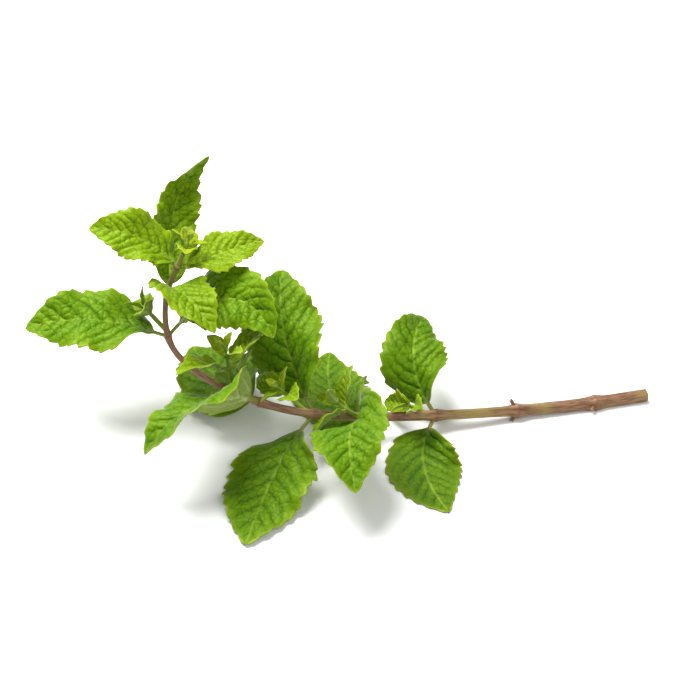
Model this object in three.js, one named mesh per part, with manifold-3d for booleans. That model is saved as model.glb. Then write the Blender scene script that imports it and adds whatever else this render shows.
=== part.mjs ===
// A sprig of mint, cut from the plant and lying on a table. It has a square stem with a bare foot,
// opposite pairs of toothed leaves at its joints, small side shoots in the angles between leaf and
// stem, and a young growing tip that turns upwards.
// Millimetres, +Z up. The table is the plane z = 0. The origin is on the flat spot under the
// stem's foot, and the stem grows towards -X.

import * as THREE from "three";
import Module from "manifold-3d";

const wasm = await Module();
wasm.setup();

// Stem: its centre line runs through these points, from the cut foot to the tip. Every point but
// the first and last is a joint, which carries a pair of leaves or, on the foot, two torn stubs.
const STEM_ROUTE = [
  [13, 3, 1.75],
  [-5, -1, 1.8],
  [-32, -6, 2.8],
  [-60, -11.5, 5.5],
  [-82, -15.5, 8.5],
  [-101, -17.5, 11.5],
  [-119, -15.5, 15],
  [-150, 3, 28],
  [-150, 10, 41],
  [-146.5, 13.5, 49],
  [-144.5, 15, 53.5],
].map((p) => new THREE.Vector3(...p));
const STEPS_PER_SPAN = 24;
const FOOT_RADIUS = 1.95;
const TIP_RADIUS = 0.8;
const STEM_TAPER = 1.3; // over 1, the stem thins more near its tip than near its foot
const SQUARENESS = 3.2; // 2 would be a round section, and more is squarer
const STEM_SIDES = 12;
const JOINT_SWELL = 0.3; // a joint is this much thicker than the stem beside it
const JOINT_REACH = 2.4; // and swells for about this far on each side
const SWELL_END = 1.3; // reaches from a joint to the nearest stations of the stem's solid
const SPAN_STATIONS = [0.35, 0.65]; // its other stations, as shares of the way between two joints
const STATION_GAP = 0.5; // and the least way between any two
const FOOT_ROLL = 0; // degrees; a flat side of the section lies on the table at the foot
const LEAFY_ROLL = 45; // and the stem twists to stand on an edge where its leaves begin
const FIRST_LEAFY_JOINT = 3;
const GROWN_GAP = 0.3; // between a leaf or shoot and the stem that it grows on

// Blades
const HALF_BLADE = 0.36; // half of a leaf blade's thickness
const PETIOLE_HALF_WIDTH = 0.8;
const PETIOLE_HALF_DEPTH = 0.65;
const SMALLEST_PETIOLE = 0.5; // size of the stalk of the tiniest leaf beside that of a full one
const PETIOLE_ROUNDING = 0.8; // 0 would be a flat-sided stalk and 1 one that is pointed at its edges
const PETIOLE_END = -0.02; // share of the blade's length where the stalk starts to thin into it
const PETIOLE_BLEND = 0.12; // and over which it does
const ROUND_BASE = 0.58; // how a blade widens from its base: under 1 is round
const TIP_POINT = 0.92; // how it narrows to its tip: under 1 is round, over 1 is drawn out
const TEETH_FROM = 0.13; // share of the blade's length where its teeth begin
const TOOTH_PEAK = 0.7; // each tooth rises for this share of its length, then drops
const TOOTH_INSET = 6; // how near the edge the teeth begin: a power of the place across the blade
const TOOTH_SCALING = 0.7; // under 1, small leaves have coarser teeth for their size
const TEETH_SHRINK_FROM = 0.5; // share of the blade's length from which the teeth get smaller
const FOLD_ROUNDING = 1.1; // radius of the crease along the midrib
const FOLD_FROM = -0.1; // share of the blade's length where its halves begin to fold up
const FOLD_OVER = 0.25; // and over which they do
const BASE_CALM = 0.2; // curl and waves grow in over this share of the blade from its base
const TIP_CALM = 0.4; // and the waves die out over this share towards its tip
const EDGE_WAVES = 2.3; // waves along each edge of a leaf
const EDGE_SHIFT = 0.45; // share of a wave by which one edge is ahead of the other
const TABLE_EASE = 1.2; // how softly a blade meets the table
const TABLE_GAP = 0.05; // between a blade that lies flat and the table

// Large leaves, one entry each. joint: place on the stem, counted from the foot. side: degrees round
// the stem from its own up direction. heads, ends: the way that the middle and the tip of the leaf
// point. faces, turns: the way that its upper side faces there. fold: degrees that each half rises
// from the midrib. cup: how far the halves curl, as a share of the width. wave: height of the
// waves along its edge.
const LEAVES = [
  { name: "leaf_3_back", joint: 3, side: 45, length: 38, width: 23, petiole: 5,
    heads: [0.0, 0.75, 0.5], ends: [0.4, 0.8, -0.35], faces: [0.1, -0.5, 1], turns: [0.5, 0.3, 0.8],
    fold: 22, cup: -0.5, wave: 1.5 },
  { name: "leaf_3_front", joint: 3, side: 225, length: 40, width: 25, petiole: 5,
    heads: [0.2, -0.95, -0.05], ends: [0.5, -0.85, 0.0], faces: [0.1, -0.1, 1], turns: [0.1, 0, 1],
    fold: 14, cup: -0.3, wave: 1.9 },
  { name: "leaf_4_back", joint: 4, side: 135, length: 43, width: 27, petiole: 6,
    heads: [-0.2, 0.95, -0.05], ends: [0.15, 0.95, -0.05], faces: [-0.1, -0.1, 1], turns: [0.2, 0, 1],
    fold: 16, cup: -0.35, wave: 2.0 },
  { name: "leaf_4_front", joint: 4, side: 315, length: 46, width: 27, petiole: 6,
    heads: [-0.1, -0.9, 0.35], ends: [0.2, -0.8, -0.5], faces: [-0.1, 0.2, 1], turns: [0.2, -0.5, 0.8],
    fold: 24, cup: -0.55, wave: 1.8 },
  { name: "leaf_5_back", joint: 5, side: 45, length: 48, width: 29, petiole: 6,
    heads: [-0.25, 0.6, 0.75], ends: [0.15, 0.95, 0.05], faces: [-0.1, -0.7, 0.8], turns: [0.1, -0.1, 1],
    fold: 22, cup: -0.5, wave: 2.2 },
  { name: "leaf_5_front", joint: 5, side: 225, length: 50, width: 30, petiole: 7,
    heads: [-0.15, -0.95, -0.1], ends: [-0.25, -0.95, 0.0], faces: [0.1, -0.1, 1], turns: [-0.1, 0, 1],
    fold: 14, cup: -0.3, wave: 2.3 },
  { name: "leaf_6_back", joint: 6, side: 135, length: 48, width: 29, petiole: 6,
    heads: [-0.5, 0.85, -0.15], ends: [-0.35, 0.9, -0.15], faces: [0, 0.1, 1], turns: [-0.1, 0.1, 1],
    fold: 18, cup: -0.4, wave: 2.1 },
  { name: "leaf_6_front", joint: 6, side: 315, length: 48, width: 27, petiole: 6,
    heads: [-0.65, -0.7, 0.3], ends: [-0.55, -0.35, -0.8], faces: [0.2, 0.3, 1], turns: [-0.7, -0.2, 0.5],
    fold: 26, cup: -0.5, wave: 2.0 },
  { name: "leaf_7_left", joint: 7, side: 225, length: 44, width: 27, petiole: 5,
    heads: [-0.9, -0.05, 0.25], ends: [-0.95, 0.0, -0.45], faces: [0.1, -0.4, 0.9], turns: [-0.4, -0.4, 0.8],
    fold: 20, cup: -0.5, wave: 2.1 },
  { name: "leaf_7_right", joint: 7, side: 45, length: 44, width: 26, petiole: 6,
    heads: [0.7, -0.35, 0.5], ends: [0.35, -0.75, -0.65], faces: [-0.3, -0.2, 0.9], turns: [0.1, -0.9, 0.3],
    fold: 26, cup: -0.6, wave: 1.9 },
  { name: "leaf_8_back", joint: 8, side: 135, length: 50, width: 18, petiole: 4,
    heads: [-0.35, 0.75, 0.85], ends: [0.95, 0.1, 0.6], faces: [0.2, -0.8, 0.5], turns: [0.6, -0.75, -0.2],
    fold: 34, cup: -0.2, wave: 2.0 },
  { name: "leaf_8_front", joint: 8, side: 315, length: 34, width: 21, petiole: 3,
    heads: [0.5, -0.85, 0.1], ends: [0.6, -0.6, -0.6], faces: [-0.2, 0.1, 1], turns: [0.4, -0.5, 0.7],
    fold: 30, cup: -0.4, wave: 1.5 },
  { name: "leaf_9_left", joint: 9, side: 225, length: 31, width: 20, petiole: 2.5,
    heads: [-0.9, -0.15, 0.5], ends: [-0.95, 0.1, -0.1], faces: [0.4, -0.5, 0.8], turns: [0, -0.6, 0.8],
    fold: 22, cup: -0.45, wave: 1.4 },
  { name: "leaf_9_right", joint: 9, side: 45, length: 28, width: 18, petiole: 2.5,
    heads: [0.9, 0.35, 0.4], ends: [0.95, 0.35, -0.1], faces: [-0.4, -0.4, 0.9], turns: [-0.1, -0.5, 0.9],
    fold: 24, cup: -0.45, wave: 1.2 },
];
const EDGE_TEETH = 10; // on each side of a large leaf
const TOOTH_DEPTH = 1.25;
const LAST_TOOTH = 0.4; // depth of the teeth at the tip, as a share of the others
const LARGE_COLUMNS = [-1, -0.5, 0, 0.5, 1]; // across the blade, from edge to edge
const LARGE_BASE_ROWS = [-0.01, 0.025, 0.07]; // along it round its base, as shares of its length
const STALK_ROW = 0.45; // and one row at this share of the stalk

// Side shoots, one entry each: a bent stalk with pairs of small leaves at its end.
const SHOOTS = [
  { name: "shoot_3_back", joint: 3, side: 45, stalk: 5, heads: [-0.85, -0.15, 0.55], leaf: 12, pairs: 1 },
  { name: "shoot_4_front", joint: 4, side: 315, stalk: 7, heads: [-0.8, 0.2, 0.6], leaf: 14, pairs: 1 },
  { name: "shoot_5_back", joint: 5, side: 45, stalk: 8, heads: [-0.7, -0.05, 0.85], leaf: 14, pairs: 2 },
  { name: "shoot_6_front", joint: 6, side: 315, stalk: 15, heads: [-0.1, 0.2, 0.95], leaf: 19, pairs: 2 },
  { name: "shoot_6_back", joint: 6, side: 135, stalk: 6, heads: [-0.7, 0.35, 0.5], leaf: 13, pairs: 1 },
  { name: "shoot_7_left", joint: 7, side: 225, stalk: 6, heads: [-0.65, 0.3, 0.7], leaf: 13, pairs: 1 },
];
const STALK_RADIUS = 0.75;
const STALK_SIDES = 6;
const STALK_TOP = 0.55; // radius of a stalk at its very top beside the rest of it
const STALK_SUNK = 2; // a shoot's stalk starts this far inside the stem
const LEAF_SUNK = 0.8; // and its leaves start this far down inside the stalk
const SHOOT_ROOT = 1.8; // a shoot leaves the stem this far above its leaf
const SHOOT_ANGLE = 32; // degrees between a shoot and the stem where it leaves
const YOUNGER = 0.52; // each pair of a shoot's leaves has this share of the last pair's length
const SLIM = 0.6; // width of a small leaf beside its length
const SMALL_TEETH = 3;
const SMALL_COLUMNS = [-1, 0, 1];
const SMALL_BASE_ROWS = [-0.01, 0.06];
const PAIR_STEP = 2.6; // between the pairs of leaves of a shoot
const USUAL_LEAF = 14; // whose first leaves are this long, and in proportion for others
const OPEN_ANGLE = 52; // degrees between a shoot and its oldest leaves
const BUD_ANGLE = 14; // and its youngest
const STALK_STEPS = 5;
const SMALL_PETIOLE = 1; // length of a tiny leaf's stalk
const PETIOLE_SHARE = 0.08; // and what longer leaves add to it, as a share of their length
const MIDDLE_TURN = 12; // degrees by which the middle of a small leaf bends outwards
const TIP_TURN = 34; // and its tip
const TIP_SAG = 0.2; // how far the tip hangs down by its weight
const SMALL_FOLD = 24;
const SMALL_WAVE = 0.03; // height of the waves along its edge beside its length
const SIDE_LEAN = 0.7; // how far small leaves lean to one side by chance
const SEEDS_PER_SHOOT = 10;
const TIP_SEED = 200;
const TIP_PAIRS = 2; // pairs of leaves on the growing tip, under its bud
const TIP_LEAF = 12;
const TIP_NECK = 1.2; // from the end of the stem to the first of these pairs

const LEAF_ANGLE = 55; // degrees between a leaf's stalk and the stem
const FULL_LEAF = 45; // a leaf this long has teeth and a stalk of full size
const RIB_STEPS = 40; // in which the line of a midrib is added up
const STUBS = [1, 2]; // joints of the foot, each with two torn leaf stalks
const STUB_LENGTH = 1.9; // about, beyond the stem
const STUB_SHORTEST = 0.7; // shares of that length between which each stub is torn off
const STUB_LONGEST = 1.3;
const STUB_LEAN = 0.6; // how far a stub leans towards the tip

const UP = new THREE.Vector3(0, 0, 1);
const radians = THREE.MathUtils.degToRad;
const clamp01 = (x) => Math.min(1, Math.max(0, x));
const smooth = (x) => clamp01(x) ** 2 * (3 - 2 * clamp01(x));
const vector = (v) => (v.isVector3 ? v.clone() : new THREE.Vector3(...v));

// A repeatable number from 0 to 1 for each seed, which stands in for chance.
function chance(seed) {
  const x = Math.sin(seed * 12.9898) * 43758.5453;
  return x - Math.floor(x);
}

// The part of v that stands square to the unit vector axis, as a unit vector.
function squareTo(v, axis) {
  return v.clone().addScaledVector(axis, -v.dot(axis)).normalize();
}

// Goes from a through b to c as t goes from 0 to 1.
function sweep(a, b, c, t) {
  return new THREE.Vector3()
    .addScaledVector(a, (1 - t) ** 2)
    .addScaledVector(b, 2 * t * (1 - t))
    .addScaledVector(c, t * t);
}

// Points on the smooth curve through a route. Its slope at each point weighs the spans beside it.
function smoothRoute(route) {
  const span = route.slice(1).map((p, i) => p.distanceTo(route[i]));
  const rate = span.map((d, i) => route[i + 1].clone().sub(route[i]).divideScalar(d));
  const slope = route.map((_, i) => {
    if (i === 0) return rate[0];
    if (i === route.length - 1) return rate[i - 1];
    const weight = span[i] / (span[i - 1] + span[i]);
    return rate[i - 1].clone().lerp(rate[i], 1 - weight);
  });
  const points = [route[0].clone()];
  for (let i = 0; i < span.length; i++) {
    for (let k = 1; k <= STEPS_PER_SPAN; k++) {
      const t = k / STEPS_PER_SPAN;
      points.push(
        route[i].clone().multiplyScalar(1 - t * t * (3 - 2 * t))
          .addScaledVector(route[i + 1], t * t * (3 - 2 * t))
          .addScaledVector(slope[i], span[i] * t * (1 - t) ** 2)
          .addScaledVector(slope[i + 1], span[i] * t * t * (t - 1)),
      );
    }
  }
  return points;
}

// Stations along a line of points: each has its distance from the start, the direction along the
// line, and an up direction that is carried along without twisting.
function stationsAlong(points, firstUp) {
  let distance = 0;
  let up = firstUp;
  return points.map((point, i) => {
    const before = points[Math.max(0, i - 1)];
    const after = points[Math.min(points.length - 1, i + 1)];
    const along = after.clone().sub(before).normalize();
    up = squareTo(up, along);
    if (i) distance += point.distanceTo(before);
    return { point, along, up, distance };
  });
}

const stemStations = stationsAlong(smoothRoute(STEM_ROUTE), UP);
const stemLength = stemStations.at(-1).distance;
const jointDistance = STEM_ROUTE.map((_, i) => stemStations[i * STEPS_PER_SPAN].distance);

// The stem's station at a distance from the foot, between the stored ones.
function stemAt(distance) {
  const next = Math.max(1, stemStations.findIndex((s) => s.distance >= distance));
  const [a, b] = [stemStations[next - 1], stemStations[next]];
  const t = (distance - a.distance) / (b.distance - a.distance);
  const along = a.along.clone().lerp(b.along, t).normalize();
  return {
    distance,
    along,
    point: a.point.clone().lerp(b.point, t),
    up: squareTo(a.up.clone().lerp(b.up, t), along),
  };
}

function stemRadius(distance) {
  const taper = THREE.MathUtils.lerp(FOOT_RADIUS, TIP_RADIUS, (distance / stemLength) ** STEM_TAPER);
  const swell = jointDistance.slice(1, -1)
    .reduce((sum, j) => sum + Math.exp(-(((distance - j) / JOINT_REACH) ** 2)), 0);
  return taper * (1 + JOINT_SWELL * swell);
}

function stemRoll(distance) {
  const share = smooth(distance / jointDistance[FIRST_LEAFY_JOINT]);
  return radians(THREE.MathUtils.lerp(FOOT_ROLL, LEAFY_ROLL, share));
}

// The direction out of a station, at an angle round its line from its up direction.
function outward(station, angle) {
  const side = station.along.clone().cross(station.up);
  return station.up.clone().multiplyScalar(Math.cos(angle)).addScaledVector(side, Math.sin(angle));
}

// A solid from its points and triangles.
function solidOf(points, triangles) {
  const solid = new wasm.Manifold(new wasm.Mesh({
    numProp: 3,
    vertProperties: new Float32Array(points.flatMap((p) => [p.x, p.y, p.z])),
    triVerts: new Uint32Array(triangles.flat()),
  }));
  if (solid.volume() <= 0) throw new Error("a solid is inside out");
  return solid;
}

// A closed tube through stations. radiusAt gives its radius at a station and an angle round it.
function tube(stations, sides, radiusAt) {
  const points = stations.flatMap((station) =>
    Array.from({ length: sides }, (_, k) => {
      const angle = (2 * Math.PI * k) / sides;
      return station.point.clone().addScaledVector(outward(station, angle), radiusAt(station, angle));
    }),
  );
  const triangles = [];
  const last = stations.length - 1;
  for (let i = 0; i < last; i++) {
    for (let k = 0; k < sides; k++) {
      const [a, b] = [i * sides + k, i * sides + ((k + 1) % sides)];
      triangles.push([a, b, a + sides], [b, b + sides, a + sides]);
    }
  }
  points.push(stations[0].point.clone(), stations[last].point.clone());
  for (let k = 0; k < sides; k++) {
    const next = (k + 1) % sides;
    triangles.push([points.length - 2, next, k]);
    triangles.push([points.length - 1, last * sides + k, last * sides + next]);
  }
  return solidOf(points, triangles);
}

// The radius of a rounded square section at an angle from the middle of a flat side.
function squareSection(radius, angle) {
  const reach = Math.abs(Math.cos(angle)) ** SQUARENESS + Math.abs(Math.sin(angle)) ** SQUARENESS;
  return radius / reach ** (1 / SQUARENESS);
}

// The stem with a margin all round. Its stations are closer together where a joint swells.
function stemSolid(margin) {
  const stops = [0, stemLength];
  for (const j of jointDistance.slice(1, -1)) {
    for (const step of [-SWELL_END, 0, SWELL_END]) stops.push(j + step * JOINT_REACH);
  }
  jointDistance.slice(1).forEach((j, i) => {
    for (const share of SPAN_STATIONS) stops.push(THREE.MathUtils.lerp(jointDistance[i], j, share));
  });
  const stations = stops.filter((d) => d >= 0 && d <= stemLength).sort((a, b) => a - b)
    .filter((d, i, all) => i === 0 || d - all[i - 1] > STATION_GAP)
    .map(stemAt);
  stations[0].point.addScaledVector(stations[0].along, -margin);
  stations.at(-1).point.addScaledVector(stations.at(-1).along, margin);
  return tube(stations, STEM_SIDES, (station, angle) =>
    squareSection(stemRadius(station.distance), angle - stemRoll(station.distance)) + margin);
}

// Half the width of a blade at a share t of its length, before its teeth.
function bladeHalfWidth(leaf, t) {
  if (t <= 0 || t >= 1) return 0;
  const widest = ROUND_BASE / (ROUND_BASE + TIP_POINT);
  const shape = (x) => x ** ROUND_BASE * (1 - x) ** TIP_POINT;
  return (leaf.width / 2) * (shape(t) / shape(widest));
}

// How far a tooth stands out at a share t of the blade's length, from 0 to 1.
function toothAt(leaf, t) {
  if (t <= TEETH_FROM || t >= 1) return 0;
  const place = ((t - TEETH_FROM) / (1 - TEETH_FROM)) * leaf.teeth;
  const share = place - Math.floor(place);
  const rise = share < TOOTH_PEAK ? share / TOOTH_PEAK : (1 - share) / (1 - TOOTH_PEAK);
  const shrunk = smooth((t - TEETH_SHRINK_FROM) / (1 - TEETH_SHRINK_FROM));
  return rise * THREE.MathUtils.lerp(1, LAST_TOOTH, shrunk);
}

// Shares of a leaf's blade at which its surface has a row of points: along the stalk, round the
// base, and at the notch and peak of every tooth.
function leafRows(leaf) {
  const stalk = -leaf.petiole / leaf.length;
  const large = leaf.columns === LARGE_COLUMNS;
  const rows = large ? [stalk, stalk * STALK_ROW, ...LARGE_BASE_ROWS] : [stalk, ...SMALL_BASE_ROWS];
  for (let k = 0; k < leaf.teeth; k++) {
    for (const share of [0, TOOTH_PEAK]) {
      rows.push(TEETH_FROM + ((k + share) / leaf.teeth) * (1 - TEETH_FROM));
    }
  }
  return [...rows, 1];
}

// The line of the midrib, from the stem's middle to the leaf's tip: points with their directions
// along, across and out of the leaf's upper side.
function midribAt(root, leaf, share) {
  const total = leaf.petiole + leaf.length;
  const steps = Math.max(1, Math.round(share * RIB_STEPS));
  const angle = radians(leaf.angle);
  const leaves = root.along.clone().multiplyScalar(Math.cos(angle))
    .addScaledVector(root.out, Math.sin(angle));
  const face = root.along.clone().multiplyScalar(Math.sin(angle))
    .addScaledVector(root.out, -Math.cos(angle));
  const way = (t) => sweep(leaves, leaf.heads, leaf.ends, t).normalize();
  const point = root.point.clone();
  for (let k = 0; k < steps; k++) {
    point.addScaledVector(way(((k + 0.5) / steps) * share), (share * total) / steps);
  }
  const along = way(share);
  const normal = squareTo(sweep(face, leaf.faces, leaf.turns, share), along);
  return { point, along, normal, across: along.clone().cross(normal) };
}

// Size of a leaf's stalk beside that of a full-grown leaf.
function petioleSize(leaf) {
  return Math.min(1, SMALLEST_PETIOLE + leaf.length / FULL_LEAF);
}

// A point of the leaf's middle surface. t is the share of the blade's length, under 0 on the
// stalk, and q goes from -1 on one edge to 1 on the other.
function leafPoint(root, leaf, t, q) {
  const rib = midribAt(root, leaf, (leaf.petiole + t * leaf.length) / (leaf.petiole + leaf.length));
  const stalk = PETIOLE_HALF_WIDTH * petioleSize(leaf) * (1 - clamp01(t));
  const toothDepth = TOOTH_DEPTH * (leaf.length / FULL_LEAF) ** TOOTH_SCALING;
  const edge = q ** TOOTH_INSET * toothAt(leaf, t) * toothDepth;
  const out = Math.abs(q) * Math.hypot(bladeHalfWidth(leaf, t), stalk) + edge;
  const blade = smooth(t / BASE_CALM);
  const waving = blade * smooth((1 - t) / TIP_CALM);
  const fold = radians(leaf.fold) * smooth((t - FOLD_FROM) / FOLD_OVER);
  const crease = Math.hypot(out, FOLD_ROUNDING) - FOLD_ROUNDING;
  const phase = leaf.seed + (q < 0 ? EDGE_SHIFT : 0);
  const rise = crease * Math.sin(fold) + (blade * leaf.cup * out * out) / leaf.width
    + waving * leaf.wave * q * q * Math.sin(2 * Math.PI * (EDGE_WAVES * t + phase));
  const point = rib.point.addScaledVector(rib.across, Math.sign(q) * out * Math.cos(fold))
    .addScaledVector(rib.normal, rise);
  const rest = HALF_BLADE + TABLE_GAP;
  point.z = rest + TABLE_EASE * Math.log1p(Math.exp((point.z - rest) / TABLE_EASE));
  return point;
}

// Half of the leaf's thickness: a rounded stalk that thins into the blade.
function leafHalfDepth(leaf, t, q) {
  const stalk = PETIOLE_HALF_DEPTH * petioleSize(leaf) * Math.sqrt(1 - PETIOLE_ROUNDING * q * q);
  return THREE.MathUtils.lerp(stalk, HALF_BLADE, smooth((t - PETIOLE_END) / PETIOLE_BLEND));
}

// A leaf as a closed solid: its middle surface thickened to both sides, with the triangles of the
// two faces alike.
function leafSolid(root, leaf) {
  const rows = leafRows(leaf);
  const columns = leaf.columns;
  const middle = rows.map((t) => columns.map((q) => leafPoint(root, leaf, t, q)));
  const within = (k, list) => Math.min(list.length - 1, Math.max(0, k));
  const at = (i, j) => middle[within(i, rows)][within(j, columns)];
  const upper = [];
  const lower = [];
  rows.forEach((t, i) => columns.forEach((q, j) => {
    const lengthways = at(i + 1, j).clone().sub(at(i - 1, j));
    const across = at(i, j + 1).clone().sub(at(i, j - 1));
    const offset = lengthways.cross(across).normalize().multiplyScalar(-leafHalfDepth(leaf, t, q));
    upper.push(at(i, j).clone().add(offset));
    const under = at(i, j).clone().sub(offset);
    under.z = Math.max(0, under.z);
    lower.push(under);
  }));
  const wide = columns.length;
  const below = upper.length;
  const triangles = [];
  const quad = (a, b, c, d) => triangles.push([a, b, c], [a, c, d]);
  for (let i = 0; i < rows.length - 1; i++) {
    for (let j = 0; j < wide - 1; j++) {
      const [a, b, c, d] = [i * wide + j, i * wide + j + 1, (i + 1) * wide + j + 1, (i + 1) * wide + j];
      quad(a, b, c, d);
      triangles.push([below + a, below + c, below + b], [below + a, below + d, below + c]);
    }
    const [left, right] = [i * wide, i * wide + wide - 1];
    quad(left, left + wide, below + left + wide, below + left);
    quad(right, below + right, below + right + wide, right + wide);
  }
  const end = (rows.length - 1) * wide;
  for (let j = 0; j < wide - 1; j++) {
    quad(j + 1, j, below + j, below + j + 1);
    quad(end + j, end + j + 1, below + end + j + 1, below + end + j);
  }
  return solidOf([...upper, ...lower], triangles);
}

// A large leaf, rooted in the middle of the stem.
function largeLeaf(entry, index) {
  const station = stemAt(jointDistance[entry.joint]);
  const root = { point: station.point, along: station.along, out: outward(station, radians(entry.side)) };
  return leafSolid(root, {
    ...entry,
    angle: LEAF_ANGLE,
    teeth: EDGE_TEETH,
    columns: LARGE_COLUMNS,
    seed: chance(index + 1),
    heads: vector(entry.heads).normalize(),
    ends: vector(entry.ends).normalize(),
    faces: vector(entry.faces).normalize(),
    turns: vector(entry.turns).normalize(),
  });
}

// A small leaf of a shoot: it bends outwards as it grows, and a little down by its weight.
function smallLeaf(root, length, angle, seed) {
  const bent = (turn, sag) => {
    const a = radians(angle + turn);
    return root.along.clone().multiplyScalar(Math.cos(a)).addScaledVector(root.out, Math.sin(a))
      .addScaledVector(UP, -sag).normalize();
  };
  const facing = (turn) => {
    const a = radians(angle + turn);
    return root.along.clone().multiplyScalar(Math.sin(a)).addScaledVector(root.out, -Math.cos(a))
      .addScaledVector(root.along.clone().cross(root.out), SIDE_LEAN * (chance(seed + 0.5) - 0.5))
      .normalize();
  };
  return leafSolid(root, {
    length, angle, seed: chance(seed),
    width: length * SLIM,
    petiole: SMALL_PETIOLE + PETIOLE_SHARE * length,
    teeth: SMALL_TEETH,
    columns: SMALL_COLUMNS,
    heads: bent(MIDDLE_TURN, 0),
    ends: bent(TIP_TURN, TIP_SAG),
    faces: facing(MIDDLE_TURN),
    turns: facing(TIP_TURN),
    fold: SMALL_FOLD,
    cup: 0,
    wave: SMALL_WAVE * length,
  });
}

// Pairs of small leaves at the end of a stalk, each pair turned a quarter from the last, with a
// bud of two tiny leaves at the top. They are joined in one solid with the stalk.
function leafyEnd(stalk, pairs, leafLength, turn, seed) {
  const tip = stalk.at(-1);
  const reach = (pair) => pair * PAIR_STEP * (leafLength / USUAL_LEAF);
  const top = { ...tip, point: tip.point.clone().addScaledVector(tip.along, reach(pairs)) };
  let solid = tube([...stalk, top], STALK_SIDES, (station) =>
    STALK_RADIUS * (station === top ? STALK_TOP : 1));
  for (let pair = 0; pair <= pairs; pair++) {
    const opening = THREE.MathUtils.lerp(OPEN_ANGLE, BUD_ANGLE, pair / (pairs + 1));
    const angle = pair === pairs ? BUD_ANGLE : opening;
    for (const half of [0, 1]) {
      const out = outward(tip, turn + (Math.PI / 2) * pair + Math.PI * half);
      const point = tip.point.clone().addScaledVector(tip.along, reach(pair) - LEAF_SUNK);
      const leaf = smallLeaf({ point, along: tip.along, out },
        leafLength * YOUNGER ** pair, angle, seed + 2 * pair + half);
      solid = solid.add(leaf);
    }
  }
  return solid;
}

// A side shoot: its stalk leaves the stem just above a leaf and bends the way that it heads.
function sideShoot(entry, index) {
  const station = stemAt(jointDistance[entry.joint] + SHOOT_ROOT);
  const out = outward(station, radians(entry.side));
  const angle = radians(SHOOT_ANGLE);
  const start = station.along.clone().multiplyScalar(Math.cos(angle)).addScaledVector(out, Math.sin(angle));
  const heads = vector(entry.heads).normalize();
  const point = station.point.clone();
  const points = [point.clone()];
  for (let k = 0; k < STALK_STEPS; k++) {
    const way = start.clone().lerp(heads, smooth((k + 0.5) / STALK_STEPS)).normalize();
    points.push(point.addScaledVector(way, (entry.stalk + STALK_SUNK) / STALK_STEPS).clone());
  }
  return leafyEnd(stationsAlong(points, squareTo(out, start)),
    entry.pairs, entry.leaf, Math.PI / 2, SEEDS_PER_SHOOT * (index + 1));
}

// The growing tip: the stem's youngest pairs of leaves, closed round the bud.
function growingTip() {
  const end = stemAt(stemLength);
  const neck = { ...end, point: end.point.clone().addScaledVector(end.along, TIP_NECK) };
  return leafyEnd([end, neck], TIP_PAIRS, TIP_LEAF, radians(LEAFY_ROLL + 90), TIP_SEED);
}

// Torn leaf stalks on a bare joint of the foot.
function tornStubs(joint) {
  const station = stemAt(jointDistance[joint]);
  return [0, 1].map((half) => {
    const side = stemRoll(station.distance) + Math.PI * (half + (joint % 2 ? 0.5 : 0));
    const out = outward(station, side);
    const way = station.along.clone().multiplyScalar(STUB_LEAN).add(out).normalize();
    const torn = THREE.MathUtils.lerp(STUB_SHORTEST, STUB_LONGEST, chance(7 * joint + half));
    const length = STUB_LENGTH * torn + stemRadius(station.distance);
    const points = [station.point.clone(), station.point.clone().addScaledVector(way, length)];
    return tube(stationsAlong(points, squareTo(station.along, way)), STALK_SIDES, () => PETIOLE_HALF_DEPTH);
  });
}

// The stem with its torn stubs, cut flat where it lies on the table.
function wholeStem() {
  const joined = STUBS.flatMap(tornStubs).reduce((sum, stub) => sum.add(stub), stemSolid(0));
  return joined.trimByPlane([0, 0, 1], 0);
}

const LOOKS = {
  stem: { color: 0x7a5238, roughness: 0.62, metalness: 0 },
  leaf: { color: 0x5b8a1e, roughness: 0.55, metalness: 0 },
  young: { color: 0x93b830, roughness: 0.55, metalness: 0 },
};

function meshOf(name, solid, look) {
  const mesh = solid.getMesh();
  const geometry = new THREE.BufferGeometry();
  geometry.setAttribute("position", new THREE.BufferAttribute(new Float32Array(mesh.vertProperties), 3));
  geometry.setIndex(new THREE.BufferAttribute(new Uint32Array(mesh.triVerts), 1));
  geometry.computeVertexNormals();
  const made = new THREE.Mesh(geometry, new THREE.MeshStandardMaterial(look));
  made.name = name;
  return made;
}

const sprig = new THREE.Group();
const clearance = stemSolid(GROWN_GAP);
const grown = (solid) => solid.subtract(clearance);

sprig.add(meshOf("stem", wholeStem(), LOOKS.stem));
LEAVES.forEach((entry, i) => sprig.add(meshOf(entry.name, grown(largeLeaf(entry, i)), LOOKS.leaf)));
SHOOTS.forEach((entry, i) => sprig.add(meshOf(entry.name, grown(sideShoot(entry, i)), LOOKS.young)));
sprig.add(meshOf("growing_tip", grown(growingTip()), LOOKS.young));

export default sprig;
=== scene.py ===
import math

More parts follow.
